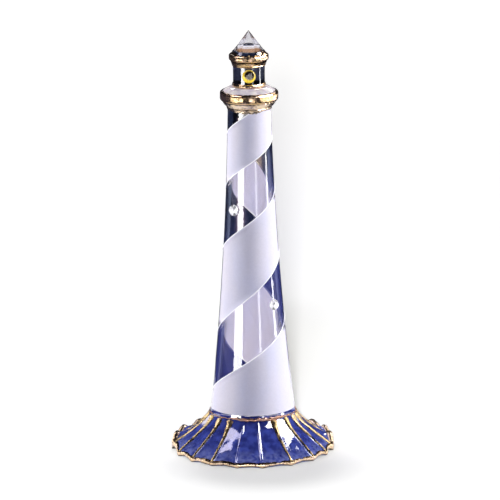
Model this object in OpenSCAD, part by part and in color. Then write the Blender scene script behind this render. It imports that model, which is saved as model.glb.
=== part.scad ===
// Glass lighthouse figurine: a hollow blown tower on a pleated cobalt foot, with an etched
// spiral, a gallery, a lantern with an amber stone, and a cut crystal roof.
// The table is at z = 0, the axis of the tower is Z, and the front faces -Y. Millimetres.

/* [Foot] */
// Height of the pleated foot, from the table to the tower
foot_h = 18.5; // [12:0.5:26]
// Radius of the foot at the tips of its pleats
foot_r = 34.2; // [30:0.1:42]
// Thickness of the foot's glass
foot_wall = 1.8; // [1:0.1:2.4]
// Radius where the flare turns outwards
flare_r = 26; // [22:0.1:28]
// Height where the flare turns outwards
flare_z = 8; // [5:0.1:10]
// Depth of the short neck that goes on straight below the tower
neck_drop = 5.2; // [3:0.1:8]
// Thickness of the rim at the tips of the pleats
rim_t = 1.6; // [1:0.1:2.4]
// Width of the ground flat under each pleat tip, measured along the radius
land_w = 1.6; // [1:0.1:3]

/* [Pleats] */
// Number of pleats round the foot
pleat_count = 19; // [12:1:24]
// How far the rim arches up between two pleats
pleat_lift = 2; // [0.5:0.1:2.5]
// How far the rim draws in between two pleats
pleat_inset = 1.4; // [0:0.1:2.5]
// How late the rim's draw between the pleats starts: 1 is evenly from the neck, 3 is close to the rim
inset_growth = 1.6; // [1.2:0.1:3]
// How late the rim's arch between the pleats starts, in the same way
lift_growth = 4; // [2:0.1:5]
// Angle of the first pleat to the right of the front
pleat_turn = 7; // [0:1:17]
// Share of a pleat's pitch that its flat tip takes
tip_share = 0.12; // [0.08:0.01:0.2]

/* [Tower] */
// Height of the tower tube
tower_h = 129.5; // [100:0.5:170]
// Outer radius of the tower at its foot
tower_foot_r = 17.6; // [15:0.1:19]
// Outer radius of the tower at its mouth
tower_mouth_r = 9.05; // [8.6:0.05:11]
// Thickness of the tower's wall
tower_wall = 2.2; // [1:0.1:2.6]
// Share of the taper that gathers towards the foot
tower_sweep = 0.7; // [0.2:0.01:0.9]

/* [Etched spiral] */
// Depth below the tower's mouth at which the band's upper edge first crosses the front
upper_edge_drop = 1.4; // [0:0.1:8]
// Fall of the upper edge per turn, as it starts
upper_edge_fall = 40.1; // [36:0.1:44]
// How much faster the upper edge falls with the square of its turns
upper_edge_gain = 6; // [4:0.1:8]
// Depth below the tower's mouth at which the band's lower edge first crosses the front
lower_edge_drop = 23.1; // [18:0.1:28]
// Fall of the lower edge per turn, as it starts
lower_edge_fall = 43.1; // [40:0.1:46]
// How much faster the lower edge falls with the square of its turns
lower_edge_gain = 12.9; // [11:0.1:14]
// Thickness of the etched layer
etch_t = 0.2; // [0.1:0.05:0.4]
// Gap that keeps the flat facets of the etched layer off the round wall
etch_gap = 0.05; // [0.04:0.01:0.1]

/* [Gallery] */
// Outer radius of the gallery's gilded edge
gallery_r = 12.3; // [11.4:0.1:15]
// Thickness of the gallery's edge
gallery_t = 4.2; // [3:0.1:6]
// Rounding of the gallery's edge
gallery_edge_r = 1.1; // [0.6:0.1:1.4]
// Height of the collar that spreads from the tower to the gallery
collar_h = 2.4; // [1:0.1:4]
// Rise of the gallery's top from its edge to the lantern
gallery_rise = 1.8; // [0.5:0.1:3]
// Length of the plug that sits in the tower's mouth
plug_l = 4; // [2:0.1:8]
// Thickness of the cement between the plug and the tower's bore
plug_cement_t = 0.15; // [0.1:0.05:0.3]

/* [Lantern] */
// Radius of the lantern's glass
lantern_r = 6.75; // [6.5:0.05:8]
// Height of the lantern's glass
lantern_h = 9.1; // [8.8:0.1:14]

/* [Roof] */
// Outer radius of the roof's gilded brim
brim_r = 8.4; // [7.9:0.1:10]
// Thickness of the brim's edge
brim_t = 2.8; // [2.2:0.1:4]
// Rounding of the brim's edge
brim_edge_r = 0.9; // [0.5:0.1:1]
// Height of the taper between the lantern and the brim
brim_taper_h = 2; // [0.8:0.1:3]
// Height of the bevel between the brim and the cut roof
brim_bevel_h = 1.3; // [0.5:0.1:3]
// Radius of the cut roof at its corners
roof_r = 6.45; // [5.5:0.05:6.8]
// Height of the cut roof
roof_h = 8.4; // [6:0.1:14]
// Number of faces cut on the roof
roof_faces = 6; // [6:1:10]
// Radius of the roof's blunted tip
roof_tip_r = 0.12; // [0.1:0.01:0.4]

/* [Stones] */
// Diameter of the amber stone on the lantern
lamp_d = 5.6; // [4:0.1:6]
// Height of the amber stone's middle above the lantern's foot
lamp_z = 5.4; // [4.8:0.1:6]
// Diameter of the two clear stones on the tower
window_d = 4.6; // [3:0.1:6]
// Place of the upper clear stone between the etched band above it, 0, and the one below it, 1
upper_window_place = 0.59; // [0.3:0.01:0.7]
// Angle of the upper clear stone to the right of the front
upper_window_turn = -40; // [-50:1:-30]
// Place of the lower clear stone between the etched band above it, 0, and the one below it, 1
lower_window_place = 0.47; // [0.3:0.01:0.7]
// Angle of the lower clear stone to the right of the front
lower_window_turn = 44; // [35:1:55]
// Height of a stone's straight girdle
girdle_h = 0.5; // [0.3:0.1:0.8]
// Height of a stone's cut crown
crown_h = 1.1; // [0.6:0.1:1.6]
// Diameter of a stone's flat table, as a share of the stone
table_share = 0.55; // [0.4:0.01:0.7]
// Number of faces cut on a stone's crown
crown_faces = 8; // [6:1:12]
// Thickness of the silver foil behind a stone
foil_t = 0.12; // [0.1:0.01:0.2]
// Least thickness of the cement that beds a stone
bed_t = 0.15; // [0.1:0.01:0.3]

/* [Gilding] */
// Thickness of the gilded layers
gold_t = 0.2; // [0.1:0.01:0.3]
// How far the thin gilded lines stand out
line_d = 0.3; // [0.2:0.05:0.6]
// Height of the gilded line round the tower's mouth
mouth_line_h = 0.9; // [0.5:0.1:1.4]
// Height of the gilded line round the lantern's foot
lantern_foot_line_h = 1.6; // [0.8:0.1:1.8]
// Height of the gilded line round the lantern's head
lantern_head_line_h = 0.8; // [0.5:0.1:0.9]
// Width of the wavy gilded line round the foot's neck
neck_line_w = 0.8; // [0.5:0.1:1.2]
// Width of the gilded rib on a pleat, at its upper end
rib_w = 1.3; // [0.8:0.1:2]
// Height of the gilded rib on a pleat, at its upper end
rib_h = 0.5; // [0.3:0.05:0.8]
// Number of pleats at the front that are left without a gilded rib
plain_pleats = 2; // [0:1:4]
// Width of the gilding on top of the foot's rim
rim_gold_w = 1.3; // [0.8:0.1:2]
// Gap between the foot's gilding and the glass facets beneath it
gold_gap = 0.03; // [0.02:0.01:0.1]
// How far above the table the rim's gilding ends
gold_lift = 0.25; // [0.1:0.05:0.5]

/* [Hidden] */

$fn = 96;

// Heights of the joints, from the table up
tower_mouth_z = foot_h + tower_h;
gallery_edge_z = tower_mouth_z + collar_h;
gallery_top_z = gallery_edge_z + gallery_t;
lantern_z = gallery_top_z + gallery_rise;
brim_z = lantern_z + lantern_h;
brim_edge_z = brim_z + brim_taper_h;
brim_top_z = brim_edge_z + brim_t;
roof_z = brim_top_z + brim_bevel_h;

// Seat of the gallery in the tower's mouth
plug_r = tower_mouth_r - tower_wall - plug_cement_t;

// Resolution of the drawn curves
tower_steps = 24;
edge_steps = 6;
flare_steps = 7;
under_steps = 4;
rib_steps = 8;
rib_sides = 5;
band_rows = 4;
band_steps_per_turn = 48;
neck_line_steps = 120;

// How far along the flare the foot's inner surface goes before its ground edge
under_end = 0.88;

// Shares of a pleat's pitch at which the foot is drawn: both sides of the tip, then the arch
arch_shares = [tip_share / 2, 0.2, 0.35, 0.5, 0.65, 0.8, 1 - tip_share / 2];
pleat_pitch = 360 / pleat_count;
// Shape of the arch between two pleats: 1 is full and round, 2 is slim
arch_fullness = 1.2;

// Part of the flare that carries the gilded ribs, and the place of the neck's gilded line
rib_from = 0.17;
rib_to = 0.93;
neck_line_at = 0.11;
// How far along the flare the neck's line waves, and how many waves it has for each pleat
neck_wave = 0.012;
neck_waves_per_pleat = 2;
// How much of the rib's width and height is left at the rim
rib_end_share = 0.3;
// Sides of a stone's girdle, and of the cone that cuts the cement behind it to the round wall
stone_sides = 48;
cut_sides = 720;
// Diameter of the cement behind a stone, as a share of the stone
cement_share = 0.9;

// Least height of the etched band at its two pointed ends
band_least = 0.6;
// Turns between which the band is looked for, counted to the left from the front
band_first_turn = -1;
band_last_turn = 5;

// A point at a distance from the axis and an angle to the right of the front
function around(r, turn, z) = [r * sin(turn), -r * cos(turn), z];

// Outer radius of the tower at a height above the table
function tower_r(z) =
    let (down = (tower_mouth_z - z) / tower_h)
    tower_mouth_r + (tower_foot_r - tower_mouth_r) * ((1 - tower_sweep) * down + tower_sweep * pow(down, 2));

// How much the tower widens for each millimetre down
function tower_slope(z) =
    let (down = (tower_mouth_z - z) / tower_h)
    (tower_foot_r - tower_mouth_r) * (1 - tower_sweep + 2 * tower_sweep * down) / tower_h;

// Corners of the flare's curve, as [radius, height]
flare = [
    [tower_foot_r, foot_h],
    [tower_foot_r + tower_slope(foot_h) * neck_drop, foot_h - neck_drop],
    [flare_r, flare_z],
    [foot_r, rim_t]
];

function flare_at(s) =
    pow(1 - s, 3) * flare[0] + 3 * pow(1 - s, 2) * s * flare[1]
    + 3 * (1 - s) * pow(s, 2) * flare[2] + pow(s, 3) * flare[3];

function flare_along(s) =
    pow(1 - s, 2) * (flare[1] - flare[0]) + 2 * (1 - s) * s * (flare[2] - flare[1])
    + pow(s, 2) * (flare[3] - flare[2]);

// Unit normal of the flare, pointing out of the glass
function flare_out(s) =
    let (way = flare_along(s))
    [-way[1], way[0]] / norm(way);

// Height of the arch between two pleats, from 0 at the tips to 1 halfway
function arch(share) =
    let (inner = (share - tip_share / 2) / (1 - tip_share))
    inner <= 0 || inner >= 1 ? 0 : pow(sin(180 * inner), arch_fullness);

// Shift of the glass between two pleats, as [radius, height]
function pleat(s, share) =
    arch(share) * [-pleat_inset * pow(s, inset_growth), pleat_lift * pow(s, lift_growth)];

// Outline of the foot's glass at one share of a pleat's pitch, as [radius, height]
function foot_outline(share) = concat(
    [for (i = [0:flare_steps]) flare_at(i / flare_steps) + pleat(i / flare_steps, share)],
    [[foot_r, 0] + pleat(1, share), [foot_r - land_w, 0] + pleat(1, share)],
    [for (i = [under_steps:-1:0])
        let (s = under_end * i / under_steps)
        flare_at(s) - (i == 0 ? [foot_wall, 0] : foot_wall * flare_out(s)) + pleat(s, share)]
);

// Angle of a share of a pleat's pitch
function pleat_angle(number, share) = pleat_turn + pleat_pitch * (number + share);

// Solid through a list of closed outlines, joined end to end if it is a ring
module swept(outlines, ring = false) {
    count = len(outlines);
    size = len(outlines[0]);
    points = [for (outline = outlines) each outline];
    sides = [for (i = [0:(ring ? count - 1 : count - 2)], j = [0:size - 1])
        let (a = i * size + j, b = i * size + (j + 1) % size)
        let (c = (i + 1) % count * size + (j + 1) % size, d = (i + 1) % count * size + j)
        each [[a, c, b], [a, d, c]]];
    ends = ring ? [] : [[for (j = [0:size - 1]) j], [for (j = [size - 1:-1:0]) (count - 1) * size + j]];
    polyhedron(points, concat(sides, ends), convexity = 10);
}

// Half of a disc's section with a rounded edge, from the axis out
module rounded_disc(r, low, high, edge) {
    lower_arc = [for (i = [-edge_steps:0])
        [r - edge + edge * cos(90 * i / edge_steps), low + edge + edge * sin(90 * i / edge_steps)]];
    upper_arc = [for (i = [0:edge_steps])
        [r - edge + edge * cos(90 * i / edge_steps), high - edge + edge * sin(90 * i / edge_steps)]];
    polygon(concat([[0, low]], lower_arc, upper_arc, [[0, high]]));
}

// Gilded layer on a disc's rounded edge
module gilded_edge(r, low, high, edge) {
    rotate_extrude() difference() {
        rounded_disc(r, low, high, edge);
        rounded_disc(r - gold_t, low, high, edge - gold_t);
        translate([0, low - edge]) square([r - edge, high - low + 2 * edge]);
    }
}

// Thin gilded line that stands out from a round wall
module gilded_line(r, z, h) {
    rotate_extrude() polygon(concat(
        [[r, z]],
        [for (i = [-edge_steps:edge_steps])
            [r + line_d * cos(90 * i / edge_steps), z + h / 2 + h / 2 * sin(90 * i / edge_steps)]],
        [[r, z + h]]));
}

module base_skirt() {
    color([0.16, 0.2, 0.55, 0.85])
    swept([for (n = [0:pleat_count - 1], share = arch_shares)
        [for (p = foot_outline(share)) around(p[0], pleat_angle(n, share), p[1])]], ring = true);
}

// Section of the rim's gilding at one share of a pleat's pitch, as [radius, height]
function rim_gold_outline(share) =
    let (top = flare_at(1), back = flare_at(1 - rim_gold_w / norm(3 * flare_along(1))))
    let (out = flare_out(1), gap = gold_gap * out, thick = (gold_gap + gold_t) * out, shift = pleat(1, share))
    [
        back + gap + shift,
        top + gap + shift,
        [foot_r + gold_gap, gold_lift] + shift,
        [foot_r + gold_gap + gold_t, gold_lift] + shift,
        top + thick + [gold_t / 2, 0] + shift,
        back + thick + shift
    ];

module skirt_rim_gilding() {
    color([0.83, 0.65, 0.28])
    swept([for (n = [0:pleat_count - 1], share = arch_shares)
        [for (p = rim_gold_outline(share)) around(p[0], pleat_angle(n, share), p[1])]], ring = true);
}

// Section of a gilded rib at a place on the flare, lying on the glass
function rib_outline(s, turn) =
    let (left = 1 - (1 - rib_end_share) * (s - rib_from) / (rib_to - rib_from))
    let (base = flare_at(s), out = flare_out(s), half = rib_w * left / 2)
    [for (i = [0:rib_sides])
        let (a = 180 * i / rib_sides, off = gold_gap + rib_h * left * sin(a))
        let (p = base + off * out)
        around(p[0], turn + half * cos(a) / base[0] * 180 / PI, p[1])];

module skirt_rib_gilding() {
    color([0.83, 0.65, 0.28])
    for (n = [floor(plain_pleats / 2):pleat_count - 1 - ceil(plain_pleats / 2)])
        swept([for (i = [0:rib_steps])
            rib_outline(rib_from + (rib_to - rib_from) * i / rib_steps, pleat_angle(n, 0))]);
}

// Section of the neck's gilded line at one of its steps
function neck_line_outline(i) =
    let (turn = 360 * i / neck_line_steps, waves = neck_waves_per_pleat * pleat_count)
    let (s = neck_line_at + neck_wave * sin(waves * turn))
    let (base = flare_at(s), out = flare_out(s), along = flare_along(s) / norm(flare_along(s)))
    [for (side = [[-1, 0], [1, 0], [0.6, 1], [-0.6, 1]])
        let (p = base + side[0] * neck_line_w / 2 * along + (gold_gap + side[1] * gold_t) * out)
        around(p[0], turn, p[1])];

module skirt_neck_gilding() {
    color([0.83, 0.65, 0.28])
    swept([for (i = [0:neck_line_steps - 1]) neck_line_outline(i)], ring = true);
}

// Section of the tower's outer wall, with its bore or solid
module tower_section(wall) {
    heights = [for (i = [0:tower_steps]) foot_h + tower_h * i / tower_steps];
    outer = [for (z = heights) [tower_r(z), z]];
    inner = [for (i = [tower_steps:-1:0]) [tower_r(heights[i]) - wall, heights[i]]];
    polygon(concat(outer, wall > 0 ? inner : [[0, tower_mouth_z], [0, foot_h]]));
}

module tower_tube() {
    color([0.86, 0.86, 0.94, 0.5])
    rotate_extrude() tower_section(tower_wall);
}

// Heights of the etched band's edges after some turns to the left from the front
function upper_edge(turns) =
    tower_mouth_z - upper_edge_drop - upper_edge_fall * turns - upper_edge_gain * pow(turns, 2);
function lower_edge(turns) =
    tower_mouth_z - lower_edge_drop - lower_edge_fall * turns - lower_edge_gain * pow(turns, 2);

// The same heights, held to the tower
function band_high(turns) = min(tower_mouth_z, upper_edge(turns));
function band_low(turns) = max(foot_h, lower_edge(turns));

// Section of the etched band after some turns
function band_column(turns) =
    let (low = band_low(turns), high = band_high(turns))
    let (heights = [for (i = [0:band_rows]) low + (high - low) * i / band_rows])
    concat(
        [for (z = heights) around(tower_r(z) + etch_gap + etch_t, -360 * turns, z)],
        [for (i = [band_rows:-1:0]) around(tower_r(heights[i]) + etch_gap, -360 * turns, heights[i])]);

module etched_spiral() {
    color([0.93, 0.93, 0.97])
    swept([for (i = [band_last_turn * band_steps_per_turn:-1:band_first_turn * band_steps_per_turn])
        let (turns = i / band_steps_per_turn)
        if (band_high(turns) - band_low(turns) > band_least) band_column(turns)]);
}

// Cut stone with its flat back at z = 0 and its crown up
module stone(d) {
    cylinder(d = d, h = girdle_h, $fn = stone_sides);
    translate([0, 0, girdle_h])
    cylinder(d1 = d, d2 = d * table_share, h = crown_h, $fn = crown_faces);
}

// Height of a stone in the clear strip that starts at the front after some whole turns
function window_z(strip, turn, place) =
    let (turns = strip - turn / 360, above = lower_edge(turns), below = upper_edge(turns + 1))
    above + place * (below - above);

// Heights of the two clear stones
upper_window_z = window_z(0, upper_window_turn, upper_window_place);
lower_window_z = window_z(1, lower_window_turn, lower_window_place);

// Places what is modelled lying flat on a wall, at a distance from the axis
module on_wall(r, turn, z, tilt) {
    rotate([0, 0, turn])
    translate([0, -r, z])
    rotate([90 - tilt, 0, 0])
    children();
}

// Places what is modelled lying flat on the tower, off its wall
module on_tower(turn, z, off) {
    on_wall(tower_r(z) + off, turn, z, atan(tower_slope(z))) children();
}

module window_stone(turn, z) {
    color([0.95, 0.96, 1, 0.7])
    on_tower(turn, z, bed_t + foil_t) stone(window_d);
}

module window_foil(turn, z) {
    color([0.8, 0.8, 0.82])
    on_tower(turn, z, bed_t) cylinder(d = window_d, h = foil_t, $fn = stone_sides);
}

// Cement between a stone's foil and the tower, cut with the cone that the tower has there
module window_cement(turn, z) {
    low = z - window_d;
    high = z + window_d;
    color([0.9, 0.9, 0.92, 0.6])
    difference() {
        on_tower(turn, z, bed_t)
        mirror([0, 0, 1]) cylinder(d = cement_share * window_d, h = tower_wall, $fn = stone_sides);
        translate([0, 0, low])
        cylinder(r1 = tower_r(low), r2 = tower_r(high), h = high - low, $fn = cut_sides);
    }
}

module upper_window_stone() {
    window_stone(upper_window_turn, upper_window_z);
}

module upper_window_foil() {
    window_foil(upper_window_turn, upper_window_z);
}

module upper_window_cement() {
    window_cement(upper_window_turn, upper_window_z);
}

module lower_window_stone() {
    window_stone(lower_window_turn, lower_window_z);
}

module lower_window_foil() {
    window_foil(lower_window_turn, lower_window_z);
}

module lower_window_cement() {
    window_cement(lower_window_turn, lower_window_z);
}

// Section of the collar between the tower and the gallery, grown outwards
module collar_section(grow) {
    polygon([[0, tower_mouth_z], [tower_mouth_r + grow, tower_mouth_z],
        [gallery_r - gallery_edge_r, gallery_edge_z - grow], [gallery_r - gallery_edge_r, gallery_edge_z],
        [0, gallery_edge_z]]);
}

module gallery_disc() {
    color([0.9, 0.9, 0.96, 0.5])
    rotate_extrude() union() {
        rounded_disc(gallery_r - gold_t, gallery_edge_z, gallery_top_z, gallery_edge_r - gold_t);
        collar_section(0);
        polygon([[0, gallery_top_z], [gallery_r - gallery_edge_r, gallery_top_z],
            [lantern_r + line_d, lantern_z], [0, lantern_z]]);
        translate([0, tower_mouth_z - plug_l]) square([plug_r, plug_l]);
    }
}

module gallery_collar_gilding() {
    color([0.83, 0.65, 0.28])
    rotate_extrude() difference() {
        collar_section(gold_t);
        collar_section(0);
    }
}

module gallery_cement() {
    color([0.9, 0.9, 0.92, 0.6])
    translate([0, 0, tower_mouth_z - plug_l])
    difference() {
        cylinder(r = plug_r + plug_cement_t, h = plug_l);
        translate([0, 0, -1]) cylinder(r = plug_r, h = plug_l + 2);
    }
}

module gallery_rim_gilding() {
    color([0.83, 0.65, 0.28])
    gilded_edge(gallery_r, gallery_edge_z, gallery_top_z, gallery_edge_r);
}

module tower_mouth_gilding() {
    color([0.83, 0.65, 0.28])
    difference() {
        gilded_line(tower_mouth_r, tower_mouth_z - mouth_line_h, mouth_line_h);
        rotate_extrude() tower_section(0);
    }
}

module lantern_glass() {
    color([0.2, 0.22, 0.36, 0.6])
    translate([0, 0, lantern_z]) cylinder(r = lantern_r, h = lantern_h);
}

module lantern_foot_gilding() {
    color([0.83, 0.65, 0.28])
    gilded_line(lantern_r, lantern_z, lantern_foot_line_h);
}

module lantern_head_gilding() {
    color([0.83, 0.65, 0.28])
    gilded_line(lantern_r, brim_z - lantern_head_line_h, lantern_head_line_h);
}

module lamp_stone() {
    color([0.95, 0.72, 0.1])
    on_wall(lantern_r + bed_t + foil_t, 0, lantern_z + lamp_z, 0) stone(lamp_d);
}

module lamp_foil() {
    color([0.85, 0.7, 0.3])
    on_wall(lantern_r + bed_t, 0, lantern_z + lamp_z, 0) cylinder(d = lamp_d, h = foil_t, $fn = stone_sides);
}

module lamp_cement() {
    color([0.9, 0.9, 0.92, 0.6])
    difference() {
        on_wall(lantern_r + bed_t, 0, lantern_z + lamp_z, 0)
        mirror([0, 0, 1]) cylinder(d = cement_share * lamp_d, h = lantern_r / 2, $fn = stone_sides);
        translate([0, 0, lantern_z]) cylinder(r = lantern_r, h = lantern_h);
    }
}

// Radius at which the brim's taper and bevel meet its edge
brim_shoulder_r = brim_r - brim_edge_r;

module roof_brim() {
    color([0.9, 0.88, 0.85, 0.7])
    rotate_extrude() union() {
        rounded_disc(brim_r - gold_t, brim_edge_z, brim_top_z, brim_edge_r - gold_t);
        polygon([[0, brim_z], [lantern_r, brim_z], [brim_shoulder_r, brim_edge_z], [0, brim_edge_z]]);
        polygon([[0, brim_top_z], [brim_shoulder_r, brim_top_z], [roof_r, roof_z], [0, roof_z]]);
    }
}

module brim_rim_gilding() {
    color([0.83, 0.65, 0.28])
    gilded_edge(brim_r, brim_edge_z, brim_top_z, brim_edge_r);
}

module roof_crystal() {
    color([0.95, 0.95, 1, 0.6])
    translate([0, 0, roof_z]) cylinder(r1 = roof_r, r2 = roof_tip_r, h = roof_h, $fn = roof_faces);
}

base_skirt();
skirt_rim_gilding();
skirt_rib_gilding();
skirt_neck_gilding();
tower_tube();
etched_spiral();
upper_window_stone();
upper_window_foil();
upper_window_cement();
lower_window_stone();
lower_window_foil();
lower_window_cement();
gallery_disc();
gallery_cement();
gallery_rim_gilding();
gallery_collar_gilding();
tower_mouth_gilding();
lantern_glass();
lantern_foot_gilding();
lamp_stone();
lamp_foil();
lamp_cement();
roof_brim();
brim_rim_gilding();
lantern_head_gilding();
roof_crystal();
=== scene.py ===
"""Looks of the glass lighthouse figurine: glass, etching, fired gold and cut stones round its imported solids.

The front faces -Y, the table is at z = 0 and the tower stands on the Z axis. The pieces are sized in
millimetres, and made in metres by the factor MM. The studio round them is sized in metres. STEP is the small
distance, in millimetres, that keeps the faces of two layers from falling together.
"""

import logging
import math
from dataclasses import dataclass
from enum import Enum
from typing import Callable, Sequence

import bmesh
import bpy
from mathutils import Matrix, Vector, noise


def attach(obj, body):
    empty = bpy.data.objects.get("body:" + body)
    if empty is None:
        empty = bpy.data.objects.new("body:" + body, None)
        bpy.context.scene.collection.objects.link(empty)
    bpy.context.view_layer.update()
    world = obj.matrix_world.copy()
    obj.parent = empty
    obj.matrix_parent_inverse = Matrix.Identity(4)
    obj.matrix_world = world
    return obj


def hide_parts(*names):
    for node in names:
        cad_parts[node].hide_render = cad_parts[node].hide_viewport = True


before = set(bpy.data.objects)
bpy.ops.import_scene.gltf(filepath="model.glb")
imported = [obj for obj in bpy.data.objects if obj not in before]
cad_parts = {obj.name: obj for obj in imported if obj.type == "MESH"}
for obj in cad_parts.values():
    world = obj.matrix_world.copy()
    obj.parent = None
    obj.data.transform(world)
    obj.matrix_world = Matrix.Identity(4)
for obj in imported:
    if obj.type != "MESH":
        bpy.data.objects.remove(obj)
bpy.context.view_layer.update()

LOG = logging.getLogger("lighthouse")

MM = 0.001
STEP = 0.02
BODY = "root"

Point = tuple[float, float, float]
Pair = tuple[float, float]
Profile = list[Pair]
Colour = tuple[float, float, float]
Finish = bpy.types.Material
Piece = bpy.types.Object
Socket = bpy.types.NodeSocket


class Slot(Enum):
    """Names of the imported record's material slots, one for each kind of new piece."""

    COBALT = "cobalt_glass"
    TOWER = "tower_glass"
    ETCHED = "etched_glass"
    CLEAR = "clear_glass"
    LANTERN = "lantern_glass"
    ROOF = "roof_glass"
    GOLD = "gold"
    CLEAR_STONE = "clear_stone"
    AMBER_STONE = "amber_stone"
    SILVER_FOIL = "silver_foil"
    GOLD_FOIL = "gold_foil"


def around(radius: float, turn: float, height: float) -> Point:
    """Gives a point at a distance from the axis and an angle in degrees to the right of the front."""
    angle = math.radians(turn)
    return (radius * math.sin(angle), -radius * math.cos(angle), height)


def apart(turn: float, other: float = 0.0) -> float:
    """Gives the angle in degrees, from 0 to 180, between a turn and another one, or the front."""
    return abs((turn - other + 180) % 360 - 180)


def ease(low: float, high: float, value: float) -> float:
    """Rises smoothly from 0 at low to 1 at high."""
    share = min(1.0, max(0.0, (value - low) / (high - low)))
    return share * share * (3 - 2 * share)


@dataclass(frozen=True)
class Lumps:
    """A measure of handwork, which varies smoothly from place to place.

    Attributes:
        depth: How far it goes to either side of its mean.
        width: Width of a lump in millimetres.
        seed: Number that sets its lumps apart from those of others.
        mean: Its mean, or 0 where it is added to something.
    """

    depth: float
    width: float
    seed: float = 0.0
    mean: float = 0.0

    def at(self, point: Sequence[float]) -> float:
        """Gives the measure at a point."""
        shift = Vector((self.seed, -self.seed, 2 * self.seed))
        return self.mean + self.depth * noise.noise(Vector(point) / self.width + shift)


def circle(count: int) -> Profile:
    """Gives the cosine and sine of angles at even steps round a circle."""
    angles = [2 * math.pi * i / count for i in range(count)]
    return [(math.cos(a), math.sin(a)) for a in angles]


def arc(centre: Pair, radius: float, start: float, end: float, steps: int = 7) -> Profile:
    """Gives the points of an arc in a section, between two angles in degrees."""
    angles = [math.radians(start + (end - start) * i / steps) for i in range(steps + 1)]
    return [(centre[0] + radius * math.cos(a), centre[1] + radius * math.sin(a)) for a in angles]


def rounded(radius: float, low: float, high: float, corner: float, shrink: float) -> Profile:
    """Gives a disc's edge with round corners, from its underside to its top, drawn in by shrink."""
    x = radius - corner
    return arc((x, low + corner), corner - shrink, -90, 0) + arc((x, high - corner), corner - shrink, 0, 90)


def bowed(start: Pair, end: Pair, power: float, share: float) -> Pair:
    """Gives a point of a curve in a section, which leaves its start level and then turns up or down."""
    return (start[0] + (end[0] - start[0]) * share, start[1] + (end[1] - start[1]) * share**power)


def brushed(line: Profile, turn: float, lumps: Lumps) -> Profile:
    """Presses a line of a section in by uneven amounts round the lumps' depth, as on a brushed coat."""
    return [(r + lumps.at(around(r, turn, z)) - lumps.depth, z) for r, z in line]


def added(name: str, data: bpy.types.ID) -> Piece:
    """Adds an object for new data to the scene.

    Args:
        name: Name of the object.
        data: Its mesh, lamp or camera data.

    Returns:
        The new object.
    """
    made = bpy.data.objects.new(name, data)
    bpy.context.scene.collection.objects.link(made)
    return made


def solid(name: str, points: Sequence[Point], faces: Sequence[Sequence[int]], crease: float = 40.0,
          edges: Sequence[float] | None = None) -> Piece:
    """Makes one closed, smoothly shaded mesh object.

    Args:
        name: Name of the object.
        points: Corners in millimetres.
        faces: Corner numbers of each face.
        crease: Angle in degrees past which an edge stays sharp.
        edges: A mark for each corner, from 0 to 1, near the edge of its thin layer, where the finish paints a
            highlight on etched glass and shade on gold.

    Returns:
        The new object, linked to the scene.
    """
    mesh = bpy.data.meshes.new(name)
    mesh.from_pydata([[c * MM for c in p] for p in points], [], faces)
    if edges is not None:
        mesh.attributes.new("edge", "FLOAT", "POINT").data.foreach_set("value", list(edges))
    work = bmesh.new()
    work.from_mesh(mesh)
    bmesh.ops.remove_doubles(work, verts=work.verts, dist=1e-6)
    bmesh.ops.dissolve_degenerate(work, edges=work.edges, dist=1e-7)
    bmesh.ops.recalc_face_normals(work, faces=work.faces)
    work.to_mesh(mesh)
    work.free()
    mesh.shade_smooth()
    mesh.set_sharp_from_angle(angle=math.radians(crease))
    return added(name, mesh)


def woven(rows: int, columns: int, rows_close: bool, columns_close: bool) -> list[list[int]]:
    """Gives the faces of a grid of points that are stored row by row.

    Args:
        rows: Number of rows.
        columns: Number of points in a row.
        rows_close: Whether the last row joins the first.
        columns_close: Whether the last point of a row joins its first.

    Returns:
        Four corner numbers for each face.
    """
    faces = []
    for i in range(rows if rows_close else rows - 1):
        row, after = i * columns, (i + 1) % rows * columns
        for j in range(columns if columns_close else columns - 1):
            k = (j + 1) % columns
            faces.append([row + j, row + k, after + k, after + j])
    return faces


def strand(name: str, rings: Sequence[Sequence[Point]], closed: bool, crease: float = 60.0,
           edges: Sequence[float] | None = None) -> Piece:
    """Makes a solid through closed rings of points, as a ring itself or with a cap at both ends.

    Args:
        name: Name of the object.
        rings: The rings, with as many points each.
        closed: Whether the last ring joins the first.
        crease: Angle in degrees past which an edge stays sharp.
        edges: A mark for each point of a ring, or of all rings, from 0 to 1, where the finish paints a
            highlight on etched glass and shade on gold.

    Returns:
        The new object.
    """
    sides = len(rings[0])
    faces = woven(len(rings), sides, closed, True)
    if not closed:
        last = (len(rings) - 1) * sides
        faces += [list(range(sides)), [last + j for j in reversed(range(sides))]]
    marks = None if edges is None else list(edges) * (len(rings) * sides // len(edges))
    return solid(name, [p for ring in rings for p in ring], faces, crease, marks)


def turned(name: str, profile: Callable[[float], Profile], sides: int, crease: float = 40.0,
           edges: Sequence[float] | None = None) -> Piece:
    """Makes a solid whose section may change as it goes round the axis.

    Args:
        name: Name of the object.
        profile: Gives the closed section, as radius and height, at an angle in degrees from the front.
        sides: Number of sections round the axis.
        crease: Angle in degrees past which an edge stays sharp.
        edges: A mark for each point of the section, from 0 to 1, where the finish paints a highlight on etched
            glass and shade on gold.

    Returns:
        The new object.
    """
    turns = [360 * i / sides for i in range(sides)]
    rings = [[around(r, turn, z) for r, z in profile(turn)] for turn in turns]
    return strand(name, rings, True, crease, edges)


def joined(name: str, parts: Sequence[Piece]) -> Piece:
    """Joins several new objects of one finish into one mesh object.

    Args:
        name: Name of the object.
        parts: The objects, which are used up.

    Returns:
        The new object.
    """
    work = bmesh.new()
    for part in parts:
        work.from_mesh(part.data)
        old = part.data
        bpy.data.objects.remove(part)
        bpy.data.meshes.remove(old)
    mesh = bpy.data.meshes.new(name)
    work.to_mesh(mesh)
    work.free()
    return added(name, mesh)


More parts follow.
